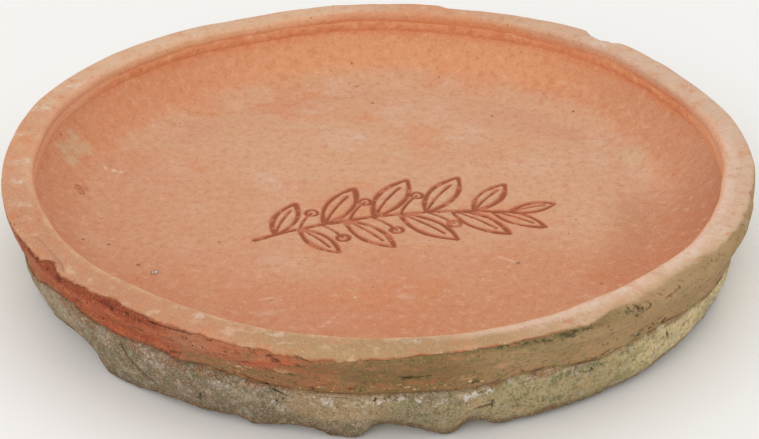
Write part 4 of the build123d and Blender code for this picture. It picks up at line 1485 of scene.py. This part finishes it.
MOSS = [
    (-63.4, 18.6, 4.6, 2), (-60.3, 16.2, 3.6, 2), (-64.8, 15.8, 2.8, 2), (-57.6, 17.4, 3, 1.4),
    (-47, 19.4, 3.2, 1), (-63.6, 8.4, 3, 1.4), (-60.8, 9.4, 2.8, 1.2), (-75.4, 12, 2.2, 1.2),
    (-93.6, 19.4, 1.6, 1.2), (-84, 11, 3, 1.5), (-80, 12, 3, 1.6), (-116, 18.4, 4, 1.4),
    (-111.6, 18.6, 4, 1.4), (-52, 19, 3, 1), (-70, 10, 3.4, 1.6), (-126.5, 7.5, 2.4, 2),
    (-121.4, 16.9, 1.4, 1), (-58.7, 16.4, 1.3, 1.1), (-75.2, 11.8, 2, 1), (-43.4, 15.2, 1.2, 1.8),
]
DIRT = [
    (-125, 9, 3.6, 3), (-115.8, 8.4, 2, 3), (-128.6, 5, 3, 2), (-140, 10, 2.6, 2),
    (-64.6, 8.6, 3.4, 1.2), (-112, 19.4, 4, 1.6), (-75, 12, 1.8, 0.9), (-87.6, 19, 5, 0.7),
    (-81.6, 19, 5, 0.6), (-62, 18.8, 2.4, 0.8),
]
RUST = [
    (-107.6, 19.4, 3.4, 0.8), (-104.5, 18.9, 2.6, 0.6), (-149, 9, 2, 1.6), (-118, 5, 2.6, 1.2),
    (-111.4, 18.2, 2.4, 1.1), (-100.8, 18.1, 3.4, 0.8), (-78, 8, 2.6, 1.2),
]

band = Finish("foot_band_finish")
big = band.cloud(13, 4, 2.0, (1.4, 1.4, 1))
medium = band.cloud(4.2, 4, 5.0)
patches = band.cloud(7, 4, 14.0, (1.6, 1.6, 0.9))
spots = band.cloud(2.6, 4, 21.0)
other_spots = band.cloud(3.4, 4, 27.0)
above_edge = band.mask("above_edge")
low = (above_edge + big * 7.0).ease(7.6, 4.4) * band.radius.ease(127, 129)
upper_band = (band.z + medium * 2.0).ease(18.8, 20.8)
lime_break = band.cloud(1.6, 4, 7.0)
near_seam = (band.z + medium * 3).ease(16.4, 18.6)
band_fine = band.cloud(1.0, 3, 4.0)
band_finest = band.cloud(0.5, 2, 6.0)
band_pits = band.grit(3.6, 0.36, 0.5, 2.0)
band_grains = band.grit(2.6, 0.32, 0.5, 6.0)
band_colour = band.washes(paint(150, 133, 102), [
    (133, 112, 87, band.sector(-122, 20, 40) * 0.8),
    (156, 134, 112, band.sector(-150, 6, 14) * 0.8),
    (176, 158, 111, band.sector(-42, 24, 44) * 0.85),
    (204, 184, 140, band.sector(-20, 18, 34) * 0.85),
    (112, 98, 80, band.sector(-115, 12, 22) * big.ease(0.36, 0.56) * 0.45),
    (92, 80, 62, band.sector(-112, 18, 32) * 0.24),
    (228, 206, 154, band.sector(-32, 12, 26) * 0.75),
    (150, 84, 58, band.sector(-163, 8, 13) * (band.z + big * 3.0).ease(12.5, 15.5) * 0.8),
    (164, 146, 104, band.sector(110, 80, 120) * 0.7),
    (112, 98, 70, big.ease(0.5, 0.7) * 0.5),
    (178, 162, 134, band.cloud(7, 4, 9.0, (1.4, 1.4, 1)).ease(0.52, 0.7) * 0.5),
    (118, 110, 68, medium.ease(0.54, 0.72) * 0.4),
    (142, 136, 84, patches.ease(0.52, 0.66) * band.sector(-58, 34, 50) * 0.6),
    (186, 154, 110, patches.ease(0.46, 0.34) * band.sector(-45, 40, 60) * 0.6),
    (150, 104, 84, patches.ease(0.56, 0.7) * band.sector(-118, 18, 34) * 0.4),
    (160, 142, 132, patches.ease(0.46, 0.34) * band.sector(-122, 30, 50) * 0.6),
    (104, 108, 70, spots.ease(0.53, 0.66) * 0.5),
    (190, 160, 128, spots.ease(0.46, 0.32) * 0.45),
    (124, 88, 68, other_spots.ease(0.56, 0.7) * 0.42),
    (176, 174, 160, other_spots.ease(0.45, 0.31) * 0.42),
    (104, 80, 52, low * 0.8),
    (166, 100, 62, low * medium.ease(0.56, 0.68) * 0.45),
    (88, 72, 50, above_edge.ease(1.8, 0.3) * band.radius.ease(127, 129) * 0.6),
    (142, 96, 62, upper_band * band.cloud(8, 3, 4.0).ease(0.42, 0.6) * 0.7),
    (186, 152, 106, band.sector(-95.5, 5, 9) * (band.z + medium * 2.0).ease(8, 12) * 0.4),
    (96, 78, 54, band.blots(on_side(DIRT), 2.0) * medium.ease(0.3, 0.6) * 0.7),
    (158, 104, 72, band.blots(on_side(RUST), 2.2) * lime_break.ease(0.3, 0.6) * 0.7),
    (206, 190, 180, band.blots(on_side(LIME), 2.4) * lime_break.ease(0.36, 0.62) * 0.6),
    (226, 216, 210, band.blots(on_side(WHITE_LIME), 1.2) * lime_break.ease(0.34, 0.54) * 0.78),
    (200, 184, 168, band.sector(-86, 22, 32) * near_seam * lime_break.ease(0.5, 0.7) * 0.5),
    (92, 98, 52, band.blots(on_side(MOSS), 2.0) * lime_break.ease(0.62, 0.42) * 0.7),
    (80, 66, 44, band_fine.ease(0.5, 0.72) * 0.62),
    (220, 206, 182, band_finest.ease(0.5, 0.72) * 0.44),
    (56, 44, 30, band_pits * 0.75),
    (226, 214, 190, band_grains * 0.4),
    (66, 54, 36, band.mask("cracked").ease(0.15, 0.7) * 0.85),
])
band_relief = medium * 1.0 + band_fine * 0.6 + band_finest * 0.35
band_relief += band_grains * 0.3 - band_pits * 0.5
crusted_clay = band.burnish(band_colour, band_relief, band_fine * 0.12 + 0.84)

foot_band.data.materials.append(crusted_clay)

# %% [markdown]
# Last, the box round the visual pieces is measured, and both boxes are printed.

# %% Measure the sizes
visual_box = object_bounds()
sizes = {
    "cad_box": [list(corner) for corner in cad_box],
    "visual_box": [list(corner) for corner in visual_box],
}
for name, box in sizes.items():
    print(name, [[round(value / MM, 2) for value in corner] for corner in box])
